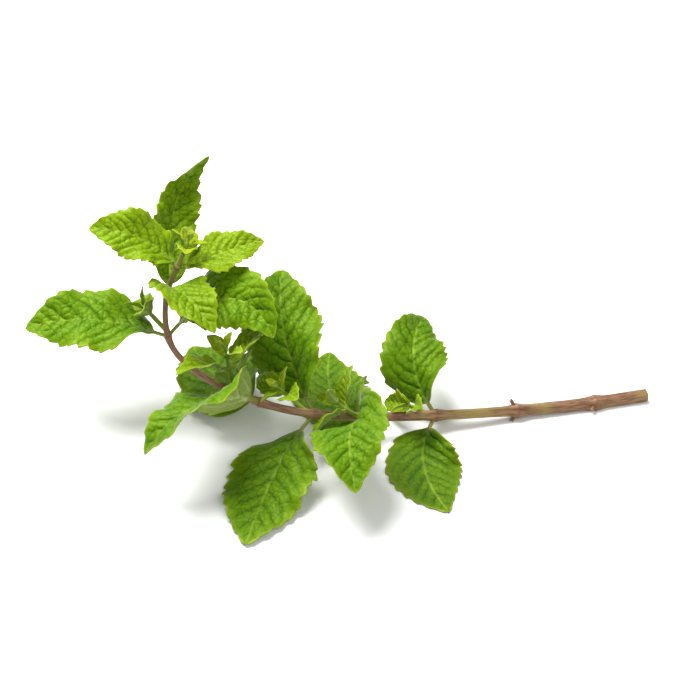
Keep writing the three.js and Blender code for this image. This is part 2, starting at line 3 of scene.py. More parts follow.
import bpy
import numpy as np
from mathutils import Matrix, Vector


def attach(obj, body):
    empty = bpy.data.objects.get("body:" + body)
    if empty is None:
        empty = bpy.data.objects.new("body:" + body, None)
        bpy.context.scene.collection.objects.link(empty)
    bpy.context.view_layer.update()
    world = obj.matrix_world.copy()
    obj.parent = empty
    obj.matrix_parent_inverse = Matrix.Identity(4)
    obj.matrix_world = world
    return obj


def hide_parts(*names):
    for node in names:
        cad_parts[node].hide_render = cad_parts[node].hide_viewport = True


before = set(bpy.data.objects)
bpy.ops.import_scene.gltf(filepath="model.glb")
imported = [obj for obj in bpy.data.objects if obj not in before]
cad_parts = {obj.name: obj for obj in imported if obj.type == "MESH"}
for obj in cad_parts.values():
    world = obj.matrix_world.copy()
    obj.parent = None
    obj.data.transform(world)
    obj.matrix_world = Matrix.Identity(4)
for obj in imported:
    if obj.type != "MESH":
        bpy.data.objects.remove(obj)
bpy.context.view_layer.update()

# A cut sprig of mint that lies on a table. The origin is the flat spot under its foot, its stem
# grows towards -X, and +Z is up. Lengths are in mm until the points of a piece are written.
MM = 0.001
BODY = "root"
UP = np.array((0.0, 0.0, 1.0))

# Stem: its centre line runs through these points, from the cut foot to the tip. Every point but
# the first and last is a joint.
STEM_ROUTE = np.array([
    (13, 3, 1.75), (-5, -1, 1.8), (-32, -6, 2.8), (-60, -11.5, 5.5), (-82, -15.5, 8.5),
    (-101, -17.5, 11.5), (-119, -15.5, 15), (-150, 3, 28), (-150, 10, 41), (-146.5, 13.5, 49),
    (-144.5, 15, 53.5),
], float)
STEPS_PER_SPAN = 24
FOOT_RADIUS, TIP_RADIUS = 1.95, 0.8
STEM_TAPER = 1.3  # over 1, it thins most near its tip
SQUARENESS = 3.2  # 2 would be a round section
JOINT_SWELL, JOINT_REACH = 0.3, 2.4  # share by which a joint is thicker, and for how far
LEAFY_ROLL = 45  # twist from the foot to the first leafy joint
FIRST_LEAFY_JOINT = 3

# The stem's finer form
STEM_SIDES, STEM_STEP = 64, 0.55
JOINT_ZONE, JOINT_STEP, LEAST_STEP = 3, 0.2, 0.12  # its rings of points are closer at a joint
RING_HEIGHT, RING_WIDTH = 0.13, 0.45  # the ridge round a joint
SCAR_DEPTH, SCAR_WIDTH, SCAR_AT = 0.1, 0.3, 1.1  # the groove a little beyond it
FLUTE_HEIGHT, FLUTES, HOLLOW_DEPTH = 0.05, 12, 0.07  # fine ribs on the four hollow sides
SKIN_HEIGHT, SKIN_LENGTH, SKIN_ROUND, SKIN_SEED = 0.035, 2.2, 3.0, 77  # uneven skin
CUT_RINGS = (  # the cut face: each ring's share of the section, and how deep it has sunk
    (0.93, -0.12), (0.8, 0.0), (0.72, 0.12), (0.5, 0.2), (0.25, 0.26), (0.04, 0.28),
)
CUT_SKIN = 0.6  # mark of the cut beside the skin; it is 1 in the pith
TIP_RING = 0.05  # the stem's end closes to this share of its last ring
STRIPS, STRIP_FILL = 8, 0.9  # its flat places lie in strips, this full

# Torn leaf stalks on the bare joints of the foot
STUBS = (1, 2)
STUB_LENGTH, STUB_SHORTEST, STUB_SPREAD = 1.9, 0.7, 0.6  # beyond the stem, and how it varies
STUB_LEAN = 0.6  # towards the stem's tip
STUB_SIDES, STUB_RINGS = 18, 16
STUB_FLARE, STUB_FLARE_REACH = 0.35, 2.2  # a stub is wider where it leaves the stem
STUB_HOLLOW = 0.35  # depth of its torn end

# Blades
HALF_BLADE = 0.36  # half the thickness of the solids' blades
PETIOLE_HALF_WIDTH, PETIOLE_HALF_DEPTH = 0.8, 0.65
SMALLEST_PETIOLE = 0.5  # size of the tiniest leaf's stalk beside a full one's
PETIOLE_END, PETIOLE_BLEND = -0.02, 0.12  # shares of the blade where it thins, and over which
ROUND_BASE, TIP_POINT = 0.58, 0.92  # how a blade widens and narrows: under 1 is round
FULL_LEAF = 45  # a leaf this long has teeth of full size
TEETH_FROM, TEETH_SHRINK_FROM = 0.13, 0.5  # shares of the blade's length
TOOTH_DEPTH, LAST_TOOTH = 1.25, 0.4  # in mm, and the share of it that is left at the tip
TOOTH_PEAK = 0.7  # each tooth rises for this share of its length, then drops
TOOTH_INSET = 6  # more keeps the teeth nearer the edge
TOOTH_SCALING = 0.7  # under 1, small leaves have deeper teeth for their size
TOOTH_BOW, TOOTH_HOOK = 0.8, 1.25  # a tooth's outer side is bowed and its short side hooked
TOOTH_LEAN = 0.5  # towards the leaf's tip
SMALLEST_TOOTH, TOOTH_SPREAD = 0.85, 0.3  # and how much the largest adds to the smallest
FOLD_ROUNDING = 1.1  # radius of the crease along the midrib
FOLD_FROM, FOLD_OVER = -0.1, 0.25  # shares of the blade where it begins, and over which
BASE_CALM, TIP_CALM = 0.2, 0.4  # shares of the blade over which its waves grow and die out
EDGE_WAVES, EDGE_SHIFT = 2.3, 0.45  # and by how much of a wave one edge is ahead
RIPPLES, RIPPLE_HEIGHT = 7.1, 0.22  # finer waves, and their height beside the others
TABLE_EASE, TABLE_GAP = 1.2, 0.05  # how softly and how near a solid blade meets the table
LOWEST_UNDERSIDE, LOWEST_TOP = 0.02, 0.14  # above the table

# Large leaves. joint: place on the stem, counted from the foot. side: degrees round the stem from
# its own up direction. heads, ends: the way that the leaf's middle and tip point. faces, turns: the
# way that its upper side faces there. fold: degrees that each half rises. cup: how far the halves
# curl. wave: height of its edge's waves. age: from 0 for the oldest to 1 for the youngest.
LEAF_COLUMNS = ("name", "joint", "side", "length", "width", "petiole", "heads", "ends",
                "faces", "turns", "fold", "cup", "wave", "age")
LEAVES = [dict(zip(LEAF_COLUMNS, row)) for row in (
    ("leaf_3_back", 3, 45, 38, 23, 5, (0, .75, .5), (.4, .8, -.35),
     (.1, -.5, 1), (.5, .3, .8), 22, -.5, 1.5, .25),
    ("leaf_3_front", 3, 225, 40, 25, 5, (.2, -.95, -.05), (.5, -.85, 0),
     (.1, -.1, 1), (.1, 0, 1), 14, -.3, 1.9, .1),
    ("leaf_4_back", 4, 135, 43, 27, 6, (-.2, .95, -.05), (.15, .95, -.05),
     (-.1, -.1, 1), (.2, 0, 1), 16, -.35, 2.0, .1),
    ("leaf_4_front", 4, 315, 46, 27, 6, (-.1, -.9, .35), (.2, -.8, -.5),
     (-.1, .2, 1), (.2, -.5, .8), 24, -.55, 1.8, .35),
    ("leaf_5_back", 5, 45, 48, 29, 6, (-.25, .6, .75), (.15, .95, .05),
     (-.1, -.7, .8), (.1, -.1, 1), 22, -.5, 2.2, .3),
    ("leaf_5_front", 5, 225, 50, 30, 7, (-.15, -.95, -.1), (-.25, -.95, 0),
     (.1, -.1, 1), (-.1, 0, 1), 14, -.3, 2.3, .2),
    ("leaf_6_back", 6, 135, 48, 29, 6, (-.5, .85, -.15), (-.35, .9, -.15),
     (0, .1, 1), (-.1, .1, 1), 18, -.4, 2.1, .2),
    ("leaf_6_front", 6, 315, 48, 27, 6, (-.65, -.7, .3), (-.55, -.35, -.8),
     (.2, .3, 1), (-.7, -.2, .5), 26, -.5, 2.0, .4),
    ("leaf_7_left", 7, 225, 44, 27, 5, (-.9, -.05, .25), (-.95, 0, -.45),
     (.1, -.4, .9), (-.4, -.4, .8), 20, -.5, 2.1, .5),
    ("leaf_7_right", 7, 45, 44, 26, 6, (.7, -.35, .5), (.35, -.75, -.65),
     (-.3, -.2, .9), (.1, -.9, .3), 26, -.6, 1.9, .55),
    ("leaf_8_back", 8, 135, 50, 18, 4, (-.35, .75, .85), (.95, .1, .6),
     (.2, -.8, .5), (.6, -.75, -.2), 34, -.2, 2.0, .6),
    ("leaf_8_front", 8, 315, 34, 21, 3, (.5, -.85, .1), (.6, -.6, -.6),
     (-.2, .1, 1), (.4, -.5, .7), 30, -.4, 1.5, .65),
    ("leaf_9_left", 9, 225, 31, 20, 2.5, (-.9, -.15, .5), (-.95, .1, -.1),
     (.4, -.5, .8), (0, -.6, .8), 22, -.45, 1.4, .7),
    ("leaf_9_right", 9, 45, 28, 18, 2.5, (.9, .35, .4), (.95, .35, -.1),
     (-.4, -.4, .9), (-.1, -.5, .9), 24, -.45, 1.2, .7),
)]

# Side shoots: a bent stalk with pairs of small leaves at its end.
SHOOT_COLUMNS = ("name", "joint", "side", "stalk", "heads", "leaf", "pairs")
SHOOTS = [dict(zip(SHOOT_COLUMNS, row)) for row in (
    ("shoot_3_back", 3, 45, 5, (-.85, -.15, .55), 12, 1),
    ("shoot_4_front", 4, 315, 7, (-.8, .2, .6), 14, 1),
    ("shoot_5_back", 5, 45, 8, (-.7, -.05, .85), 14, 2),
    ("shoot_6_front", 6, 315, 15, (-.1, .2, .95), 19, 2),
    ("shoot_6_back", 6, 135, 6, (-.7, .35, .5), 13, 1),
    ("shoot_7_left", 7, 225, 6, (-.65, .3, .7), 13, 1),
)]
STALK_RADIUS, STALK_TOP, STALK_FLUTE = 0.75, 0.55, 0.05  # the last two are shares of the first
STALK_SIDES, STALK_STEP = 20, 0.4
STALK_BENDS = 5  # straight lengths in its bend
STALK_SUNK = 2  # a shoot's stalk starts this far inside the stem
LEAF_SUNK = 0.8  # and its leaves this far down inside the stalk
CAP_RING = 0.02  # share of its last ring to which a stalk closes
SHOOT_ROOT, SHOOT_ANGLE = 1.8, 32  # where above its leaf it leaves the stem, and how
SHOOT_AGE, TIP_AGE, AGE_STEP = 0.72, 0.85, 0.12  # each pair is younger than the last by a step
YOUNGER = 0.52  # each pair of leaves has this share of the last pair's length
PAIR_STEP, USUAL_LEAF = 2.6, 14  # between two pairs, if the first leaves are that long
OPEN_ANGLE, BUD_ANGLE = 52, 14  # of its oldest and its youngest leaves
TIP_PAIRS, TIP_LEAF, TIP_NECK = 2, 12, 1.2
TIP_SEED, SEEDS_PER_SHOOT = 200, 10

# Small leaves
SLIM = 0.6  # width of a small leaf beside its length
SMALL_PETIOLE, PETIOLE_SHARE = 1, 0.08  # in mm, and the share of the length that is added
MIDDLE_TURN, TIP_TURN, TIP_SAG = 12, 34, 0.2  # how it bends outwards, and how its tip hangs
SMALL_WAVE = 0.03  # a share of its length
SIDE_LEAN = 0.7  # to one side, by chance
FEWEST_TEETH, TOOTH_SPACING = 3, 3.2

# What all large and all small leaves have. angle: between stalk and stem. teeth, veins: on each
# side. step, across: between two points, along and across the blade.
LARGE = dict(angle=55, teeth=10, step=0.28, across=0.37, veins=7)
SMALL = dict(fold=24, cup=0, step=0.26, across=0.3, veins=5)
PETIOLE_STEP = 0.5
RIB_STEPS = 400  # in which a midrib's line is added up
BASE_SHARE, BODY_SHARE, END_SHARE = 0.04, 0.91, 0.05  # parts of a blade with rows of their own
EDGE_CROWDING = 0.2  # columns are closer towards the edges

# Veins and wrinkles. The blade is raised in rounded cells between a net of sunk veins.
FIRST_VEIN, VEIN_SPAN = 0.02, 0.84  # shares of the length where they leave the midrib
VEIN_SHIFT, VEIN_JITTER = 0.3, 0.1  # one half's start later, and each by chance
VEINS_BEYOND = 4  # veins that are worked out past both ends
VEIN_SLOPE = (0.55, 1.05)  # how they lean towards the tip, at the base and at the tip
VEIN_BEND, NARROWEST_BEND = 0.35, 3  # and how they bend, over no less than that half width
VEIN_WANDER, WANDER_LENGTHS = 0.22, (3.1, 2.7)  # how far, as a share of a cell, and over what lengths
LARGE_CELL = (1.2, 0.017)  # width of a cell: for a tiny leaf, and what each millimetre adds
SMALL_CELL = (0.55, 0.07)
CELL_FILL, CELL_STRETCH, CELL_START = 0.92, 1.3, 0.3  # rows, spacing and first place of cells
CELL_JITTER, ROW_SHIFT, ROW_JITTER = 0.52, 0.55, 0.5  # how unevenly they lie
SEED_MARGIN = 4  # cells reach this far past the leaf's ends
SPOTS_AT_ONCE = 4000
RELIEF_SCALING = 0.6  # under 1, small leaves have deeper wrinkles for their size
SWELL_HEIGHT = 0.22  # the blade rises between two side veins
PUCKER_HEIGHT, PUCKER_LENGTH = 0.42, 5.5  # and in larger uneven puckers
CELL_HEIGHT, CELL_EDGE = 0.22, 0.42  # and in each cell
CELL_EVEN, CELL_UNEVEN = 0.75, 0.35  # more where it is puckered up
VEIN_DEPTH, VEIN_WIDTH = 0.34, 0.5
RIB_DEPTH, RIB_WIDTH, RIB_FADE = 0.3, 0.9, 0.6
BLADE_START = 0.06  # share of the length over which veins and wrinkles set in
CALM_END, CALM_LEFT = 0.25, 0.35  # wrinkles sink over this share at the tip, to this share

# Thickness of the fine blades and the ridges under them
FINE_HALF, EDGE_THINNING, PETIOLE_ROUNDING = 0.19, 0.06, 0.96
RIB_RIDGE, RIB_RIDGE_FADE = 0.55, 0.75
RIB_RIDGE_WIDTH = (0.3, 0.45)  # at the tip, and what is added to it at the base
VEIN_RIDGE, NET_RIDGE = 0.2, 0.07
GROOVE_DEPTH, GROOVE_WIDTH = 0.16, 0.42  # the groove along the upper side of a leaf's stalk
GROOVE_FROM, GROOVE_OVER = 0.02, 0.1

# Widths of the lines that the leaf's colours follow
RIB_LINE = (0.26, 0.34)  # at the tip, and what is added to it at the base
VEIN_LINE, VEIN_LINE_FADE, NET_LINE = 0.34, 0.55, 0.3


def clamp01(x):
    return np.clip(x, 0.0, 1.0)


def smooth(x):
    return clamp01(x) ** 2 * (3 - 2 * clamp01(x))


def lerp(a, b, t):
    return a + (b - a) * t


def bell(x, width):
    """1 where x is 0, falling smoothly to about a third one width away."""
    return np.exp(-(x / width) ** 2)


def chance(seed):
    """A repeatable number from 0 to 1 for each seed."""
    x = math.sin(seed * 12.9898) * 43758.5453
    return x - math.floor(x)


def unit(v):
    v = np.asarray(v, float)
    return v / np.linalg.norm(v, axis=-1, keepdims=True)


def square_to(v, axis):
    """The part of v that stands square to the unit vector axis, as a unit vector."""
    return unit(v - axis * np.sum(v * axis, axis=-1, keepdims=True))


def sweep(a, b, c, t):
    """Goes from a through b to c as t goes from 0 to 1."""
    t = np.asarray(t, float)[..., None]
    return (1 - t) ** 2 * a + 2 * t * (1 - t) * b + t ** 2 * c


def noise2(x, y, seed):
    """Smooth seeded noise from -1 to 1 over a plane, with one swell to each unit."""
    size = 64
    table = np.random.default_rng(seed).uniform(-1, 1, (size, size))
    x, y = np.asarray(x, float) + 31.7, np.asarray(y, float) + 17.3
    i, j = np.floor(x).astype(int), np.floor(y).astype(int)
    u, v = smooth(x - i), smooth(y - j)

    def pick(a, b):
        return table[a % size, b % size]

    return lerp(lerp(pick(i, j), pick(i + 1, j), u), lerp(pick(i, j + 1), pick(i + 1, j + 1), u), v)


def outward(along, up, angle):
    """The direction out of a line, at an angle round it from its up direction."""
    side = np.cross(along, up)
    angle = np.asarray(angle, float)[..., None]
    return up * np.cos(angle) + side * np.sin(angle)


def angles_round(sides):
    return np.arange(sides) * 2 * np.pi / sides


class Line:
    """A line of points with its directions, and an up direction carried along without twisting."""

    def __init__(self, points, first_up):
        self.point = np.asarray(points, float)
        before = np.vstack([self.point[:1], self.point[:-1]])
        after = np.vstack([self.point[1:], self.point[-1:]])
        self.along = unit(after - before)
        up, ups = np.asarray(first_up, float), []
        for along in self.along:
            up = square_to(up, along)
            ups.append(up)
        self.up = np.array(ups)
        steps = np.linalg.norm(np.diff(self.point, axis=0), axis=1)
        self.distance = np.concatenate([[0], np.cumsum(steps)])

    def at(self, d):
        """Points, along and up directions at distances d from the start."""
        def pick(values):
            return np.stack([np.interp(d, self.distance, values[:, k]) for k in range(3)], -1)

        along = unit(pick(self.along))
        return pick(self.point), along, square_to(pick(self.up), along)


def smooth_route(route):
    """Points on the smooth curve through a route."""
    step = np.diff(route, axis=0)
    span = np.linalg.norm(step, axis=1)
    rate = step / span[:, None]
    slope = [rate[0]]
    for i in range(1, len(route) - 1):
        weight = span[i] / (span[i - 1] + span[i])
        slope.append(lerp(rate[i - 1], rate[i], 1 - weight))
    slope.append(rate[-1])
    points = [route[0]]
    for i in range(len(span)):
        for k in range(1, STEPS_PER_SPAN + 1):
            t = k / STEPS_PER_SPAN
            ease = t * t * (3 - 2 * t)
            points.append(route[i] * (1 - ease) + route[i + 1] * ease
                          + slope[i] * span[i] * t * (1 - t) ** 2
                          + slope[i + 1] * span[i] * t * t * (t - 1))
    return np.array(points)


STEM = Line(smooth_route(STEM_ROUTE), UP)
STEM_LENGTH = STEM.distance[-1]
JOINTS = STEM.distance[::STEPS_PER_SPAN]


def stem_radius(d):
    d = np.asarray(d, float)
    taper = lerp(FOOT_RADIUS, TIP_RADIUS, clamp01(d / STEM_LENGTH) ** STEM_TAPER)
    swell = sum(bell(d - j, JOINT_REACH) for j in JOINTS[1:-1])
    return taper * (1 + JOINT_SWELL * swell)


def stem_roll(d):
    return math.radians(LEAFY_ROLL) * smooth(np.asarray(d, float) / JOINTS[FIRST_LEAFY_JOINT])


class Grid:
    """A piece that is being joined: points, faces, flat places, and marks, which are numbers at the
    points that the materials read."""

    def __init__(self):
        self.points, self.quads, self.places, self.marks, self.count = [], [], [], [], 0

    def add(self, points, quads, places, marks):
        self.points.append(points)
        self.quads.append(quads + self.count)
        self.places.append(places)
        self.marks.append(marks)
        self.count += len(points)

    def mark(self, name):
        """One mark's numbers at all the points, 0 where a part of the piece has none."""
        return np.concatenate([
            np.broadcast_to(marks.get(name, 0.0), len(points))
            for points, marks in zip(self.points, self.marks)])


def add_tube(grid, rings, marks):
    """Adds rings of points, joined to a tube."""
    count, sides = rings.shape[:2]
    places = as_list(*tube_places(count, sides))
    grid.add(rings.reshape(-1, 3), tube_quads(count, sides), places, marks)


def tile_places(places):
    """Lays the flat places of a piece's parts side by side in one square, none over another."""
    margin = 0.02
    side = math.ceil(math.sqrt(len(places)))
    tiled = []
    for k, place in enumerate(places):
        row, column = divmod(k, side)
        tiled.append((place * (1 - 2 * margin) + margin + np.array((column, row))) / side)
    return np.concatenate(tiled)


def new_object(name, data):
    made = bpy.data.objects.new(name, data)
    bpy.context.scene.collection.objects.link(made)
    return made


def build(name, grid, material, node):
    """Makes the piece of a grid, in place of the node that it stands for."""
    points = np.concatenate(grid.points) * MM
    quads = np.concatenate(grid.quads).astype(np.int32)
    mesh = bpy.data.meshes.new(name)
    mesh.vertices.add(len(points))
    mesh.vertices.foreach_set("co", points.astype(np.float32).ravel())
    mesh.loops.add(quads.size)
    mesh.loops.foreach_set("vertex_index", quads.ravel())
    mesh.polygons.add(len(quads))
    mesh.polygons.foreach_set("loop_start", np.arange(0, quads.size, 4, dtype=np.int32))
    mesh.update(calc_edges=True)
    for key in sorted(set().union(*grid.marks)):
        made = mesh.attributes.new(key, "FLOAT", "POINT")
        made.data.foreach_set("value", grid.mark(key).astype(np.float32))
    flat = mesh.uv_layers.new(name="OFBake")
    flat.uv.foreach_set("vector", tile_places(grid.places)[quads.ravel()].astype(np.float32).ravel())
    mesh.shade_smooth()
    mesh.materials.append(material)
    piece = new_object(name, mesh)
    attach(piece, BODY)
    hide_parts(node)


def tube_quads(rings, sides):
    i, k = np.meshgrid(np.arange(rings - 1), np.arange(sides), indexing="ij")
    a = i * sides + k
    b = i * sides + (k + 1) % sides
    return np.stack([a, b, b + sides, a + sides], -1).reshape(-1, 4)


def tube_places(rings, sides):
    return np.meshgrid(np.arange(sides) / (sides - 1), np.linspace(0, 1, rings))


def as_list(*grids):
    """Grids of numbers as rows that hold one number from each grid."""
    return np.stack(grids, -1).reshape(-1, len(grids))


def blade_half_width(leaf, t):
    """Half the width of a blade at a share t of its length, before its teeth."""
    def shape(x):
        return x ** ROUND_BASE * (1 - x) ** TIP_POINT

    widest = ROUND_BASE / (ROUND_BASE + TIP_POINT)
    return leaf["width"] / 2 * shape(clamp01(t)) / shape(widest)


def petiole_size(leaf):
    """Size of a leaf's stalk beside that of a full-grown leaf."""
    return min(1, SMALLEST_PETIOLE + leaf["length"] / FULL_LEAF)


def tooth_at(leaf, t):
    """How far a tooth stands out at a share t of the blade's length, from 0 to about 1."""
    place = clamp01((t - TEETH_FROM) / (1 - TEETH_FROM)) * leaf["teeth"]
    index = np.minimum(np.floor(place), leaf["teeth"] - 1)
    share = place - index
    rise = np.where(share < TOOTH_PEAK, (share / TOOTH_PEAK) ** TOOTH_BOW,
                    clamp01((1 - share) / (1 - TOOTH_PEAK)) ** TOOTH_HOOK)
    uneven = SMALLEST_TOOTH + TOOTH_SPREAD * (np.sin(index * 7.3 + leaf["seed"] * 40) * 0.5 + 0.5)
    shrunk = lerp(1, LAST_TOOTH, smooth((t - TEETH_SHRINK_FROM) / (1 - TEETH_SHRINK_FROM)))
    return rise * uneven * shrunk * (t > TEETH_FROM) * (t < 1)


def midrib(root, leaf, share):
    """Points of the midrib at shares of the whole leaf, and the ways along, out of and across it."""
    total = leaf["petiole"] + leaf["length"]
    angle = math.radians(leaf["angle"])
    leaves = root["along"] * math.cos(angle) + root["out"] * math.sin(angle)
    face = root["along"] * math.sin(angle) - root["out"] * math.cos(angle)
    middle = (np.arange(RIB_STEPS) + 0.5) / RIB_STEPS
    ways = unit(sweep(leaves, leaf["heads"], leaf["ends"], middle))
    path = np.vstack([[0, 0, 0], np.cumsum(ways * total / RIB_STEPS, axis=0)]) + root["point"]
    at = np.linspace(0, 1, RIB_STEPS + 1)
    point = np.stack([np.interp(share, at, path[:, k]) for k in range(3)], -1)
    along = unit(sweep(leaves, leaf["heads"], leaf["ends"], share))
    normal = square_to(sweep(face, leaf["faces"], leaf["turns"], share), along)
    return point, along, normal, np.cross(along, normal)


def leaf_rows(leaf):
    """Shares of the blade's length with a row of points, closer at the round base and the tip."""
    length, step, petiole = leaf["length"], leaf["step"], leaf["petiole"]
    stalk_rows = max(5, int(petiole / PETIOLE_STEP))
    base_rows = max(4, int(BASE_SHARE * length / step * 1.8))
    body_rows = max(8, int(BODY_SHARE * length / step))
    end_rows = max(5, int(END_SHARE * length / step * 2))
    return np.concatenate([
        -np.linspace(petiole, 0, stalk_rows, endpoint=False) / length,
        BASE_SHARE * np.linspace(0, 1, base_rows, endpoint=False) ** 1.7,
        np.linspace(BASE_SHARE, 1 - END_SHARE, body_rows, endpoint=False),
        1 - END_SHARE * np.linspace(1, 0.05, end_rows) ** 1.4,
    ])


def middle_surface(root, leaf, rows, q):
    """The leaf's middle surface, folded, cupped and waved, and how far across the flat blade each
    of its points is. q goes from -1 on one edge to 1 on the other."""
    share = (leaf["petiole"] + rows * leaf["length"]) / (leaf["petiole"] + leaf["length"])
    point, along, normal, across = (a[:, None, :] for a in midrib(root, leaf, share))
    t = rows[:, None]
    scale = leaf["length"] / FULL_LEAF
    stalk = PETIOLE_HALF_WIDTH * petiole_size(leaf) * (1 - clamp01(t))
    tooth = tooth_at(leaf, t)
    edge = q ** TOOTH_INSET * tooth * TOOTH_DEPTH * scale ** TOOTH_SCALING
    out = np.abs(q) * np.hypot(blade_half_width(leaf, t), stalk) + edge
    blade = smooth(t / BASE_CALM)
    fold = math.radians(leaf["fold"]) * smooth((t - FOLD_FROM) / FOLD_OVER)
    crease = np.hypot(out, FOLD_ROUNDING) - FOLD_ROUNDING
    waving = blade * smooth((1 - t) / TIP_CALM)
    phase = leaf["seed"] + np.where(q < 0, EDGE_SHIFT, 0.0)
    rise = crease * np.sin(fold) + blade * leaf["cup"] * out * out / leaf["width"]
    rise = rise + waving * leaf["wave"] * q * q * np.sin(2 * np.pi * (EDGE_WAVES * t + phase))
    ripple = np.sin(2 * np.pi * (RIPPLES * t + 3 * phase))
    rise = rise + waving * RIPPLE_HEIGHT * leaf["wave"] * q ** 4 * ripple
    middle = point + across * (np.sign(q) * out * np.cos(fold))[..., None] + normal * rise[..., None]
    middle = middle + along * (q ** 8 * tooth * TOOTH_LEAN * scale)[..., None]
    return middle, np.sign(q) * out


def vein_slope(leaf, at):
    return lerp(*VEIN_SLOPE, clamp01(at / leaf["length"]))


def cell_seeds(leaf, base, bend, rng):
    """Middles of the cells between the side veins that leave the midrib at base, as places along
    and across the flat blade."""
    cell = leaf["cell"]
    seeds = []
    for start, wide in zip(base, np.diff(base)):
        rows = max(1, round(wide * CELL_FILL / cell))
        for row in range(rows):
            reach = np.arange(CELL_START * cell, leaf["width"] / 2 + 2 * cell, cell * CELL_STRETCH)
            reach = (reach + rng.uniform(-CELL_JITTER, CELL_JITTER, len(reach)) * cell
                     + (row % 2) * ROW_SHIFT * cell)
            off = rng.uniform(-0.5, 0.5, len(reach)) * ROW_JITTER / rows
            place = start + wide * ((row + 0.5) / rows + off)
            at = place + reach * vein_slope(leaf, place) + bend * reach ** 2
            for _ in range(3):
                at = place + reach * vein_slope(leaf, at) + bend * reach ** 2
            seeds.append(np.stack([at, reach], -1))
    seeds = np.concatenate(seeds)
    return seeds[(seeds[:, 0] > -SEED_MARGIN) & (seeds[:, 0] < leaf["length"] + SEED_MARGIN)]


def border_distance(spots, seeds):
    """How far each spot is from the border between its two nearest seeds."""
    distance = np.empty(len(spots))
    for part in np.array_split(np.arange(len(spots)), max(1, len(spots) // SPOTS_AT_ONCE)):
        far = np.linalg.norm(spots[part, None] - seeds[None], axis=2)
        two = np.argpartition(far, 1, axis=1)[:, :2]
        near = np.take_along_axis(far, two, 1)
        gap = np.linalg.norm(seeds[two[:, 0]] - seeds[two[:, 1]], axis=1)
        distance[part] = np.abs(near[:, 0] ** 2 - near[:, 1] ** 2) / (2 * np.maximum(gap, 1e-6))
    return distance


def vein_lines(leaf, x, y):
    """For points x along and y across the flat blade: their distance from the nearest side vein and
    from the nearest thread of the net between, and their place between two side veins, 0 to 1."""
    rng = np.random.default_rng(int(leaf["seed"] * 1e6))
    noise_seed = int(leaf["seed"] * 1e4)
    length, count = leaf["length"], leaf["veins"]
    bend = VEIN_BEND / max(leaf["width"] / 2, NARROWEST_BEND)
    wander = leaf["cell"] * VEIN_WANDER
    first, second = WANDER_LENGTHS
    x = x + wander * noise2(x / first, y / first, 5 + noise_seed)
    y_bent = y + wander * noise2(x / second, y / second, 9 + noise_seed)
    d_side, d_net, band = np.zeros_like(x), np.zeros_like(x), np.zeros_like(x)
    for hand in (-1, 1):
        index = np.arange(-VEINS_BEYOND, count + VEINS_BEYOND + 1)
        base = length * (FIRST_VEIN + VEIN_SPAN * (index + VEIN_SHIFT * (hand > 0)) / count)
        base = base + rng.uniform(-VEIN_JITTER, VEIN_JITTER, len(base)) * length / count
        mine = (y >= 0) == (hand > 0)
        px, py = x[mine], np.abs(y_bent[mine])
        slope = vein_slope(leaf, px)
        c = px - py * slope - bend * py ** 2
        u = np.interp(c, base, index)
        d_side[mine] = np.abs(c - np.interp(np.rint(u), index, base)) / np.sqrt(1 + slope ** 2)
        band[mine] = u - np.floor(u)
        d_net[mine] = border_distance(np.stack([px, py], -1), cell_seeds(leaf, base, bend, rng))
    return d_side, d_net, band


def leaf_form(leaf, t, q, y):
    """The relief of the middle surface, the ridges under it, and the marks of veins, net and edge.
    t is the share of the blade's length, q the place across it and y the same in mm."""
    d_side, d_net, band = vein_lines(leaf, t * leaf["length"] + 0 * q, y)
    size = min(1.0, leaf["length"] / FULL_LEAF) ** RELIEF_SCALING
    left = 1 - clamp01(t)
    on_blade = smooth(t / BLADE_START) + 0 * q
    calm = CALM_LEFT + (1 - CALM_LEFT) * smooth((1 - t) / CALM_END)
    inner = on_blade * (1 - np.abs(q) ** 6) * calm
    rib = bell(y, RIB_LINE[0] + RIB_LINE[1] * left * size)
    side = bell(d_side, VEIN_LINE) * (1 - VEIN_LINE_FADE * np.abs(q))
    net = bell(d_net, NET_LINE)
    swell = 0.5 - 0.5 * np.cos(2 * np.pi * band)
    pucker_length = PUCKER_LENGTH * size
    pucker = noise2(t * leaf["length"] / pucker_length + 0 * q, y / pucker_length,
                    3 + int(leaf["seed"] * 1e4))
    relief = size * inner * (
        SWELL_HEIGHT * swell + PUCKER_HEIGHT * pucker
        + CELL_HEIGHT * (1 - bell(d_net, CELL_EDGE)) * (CELL_EVEN + CELL_UNEVEN * pucker)
        - VEIN_DEPTH * bell(d_side, VEIN_WIDTH)
        - RIB_DEPTH * bell(y, RIB_WIDTH) * (1 - RIB_FADE * clamp01(t)))
    rib_ridge = bell(y, RIB_RIDGE_WIDTH[0] + RIB_RIDGE_WIDTH[1] * left * size)
    ridge = on_blade * (
        RIB_RIDGE * size * (1 - RIB_RIDGE_FADE * clamp01(t)) * rib_ridge
        + VEIN_RIDGE * size * side + NET_RIDGE * net * inner)
    # On the upper side net and side steer painted shade in the grooves and swell steers painted light;
    # on the underside net, side and rib are paler raised veins
    marks = {
        "rib": rib, "side": side * on_blade, "net": net * on_blade * (0.4 + 0.6 * inner),
        "edge": np.abs(q) ** 5 * on_blade + smooth((t - 0.9) / 0.1) * 0.6,
        "stalk": 1 - smooth((t + 0.02) / 0.09) + 0 * q, "swell": swell * inner,
        "age": leaf["age"] + 0 * y, "tone": leaf["tone"] + 0 * y,
    }
    return relief, ridge, marks


def faces_out(surface):
    """The unit direction out of the upper side at each point of a surface."""
    lengthways = np.gradient(surface, axis=0)
    over = np.gradient(surface, axis=1)
    return -unit(np.cross(lengthways, over) + 1e-12)


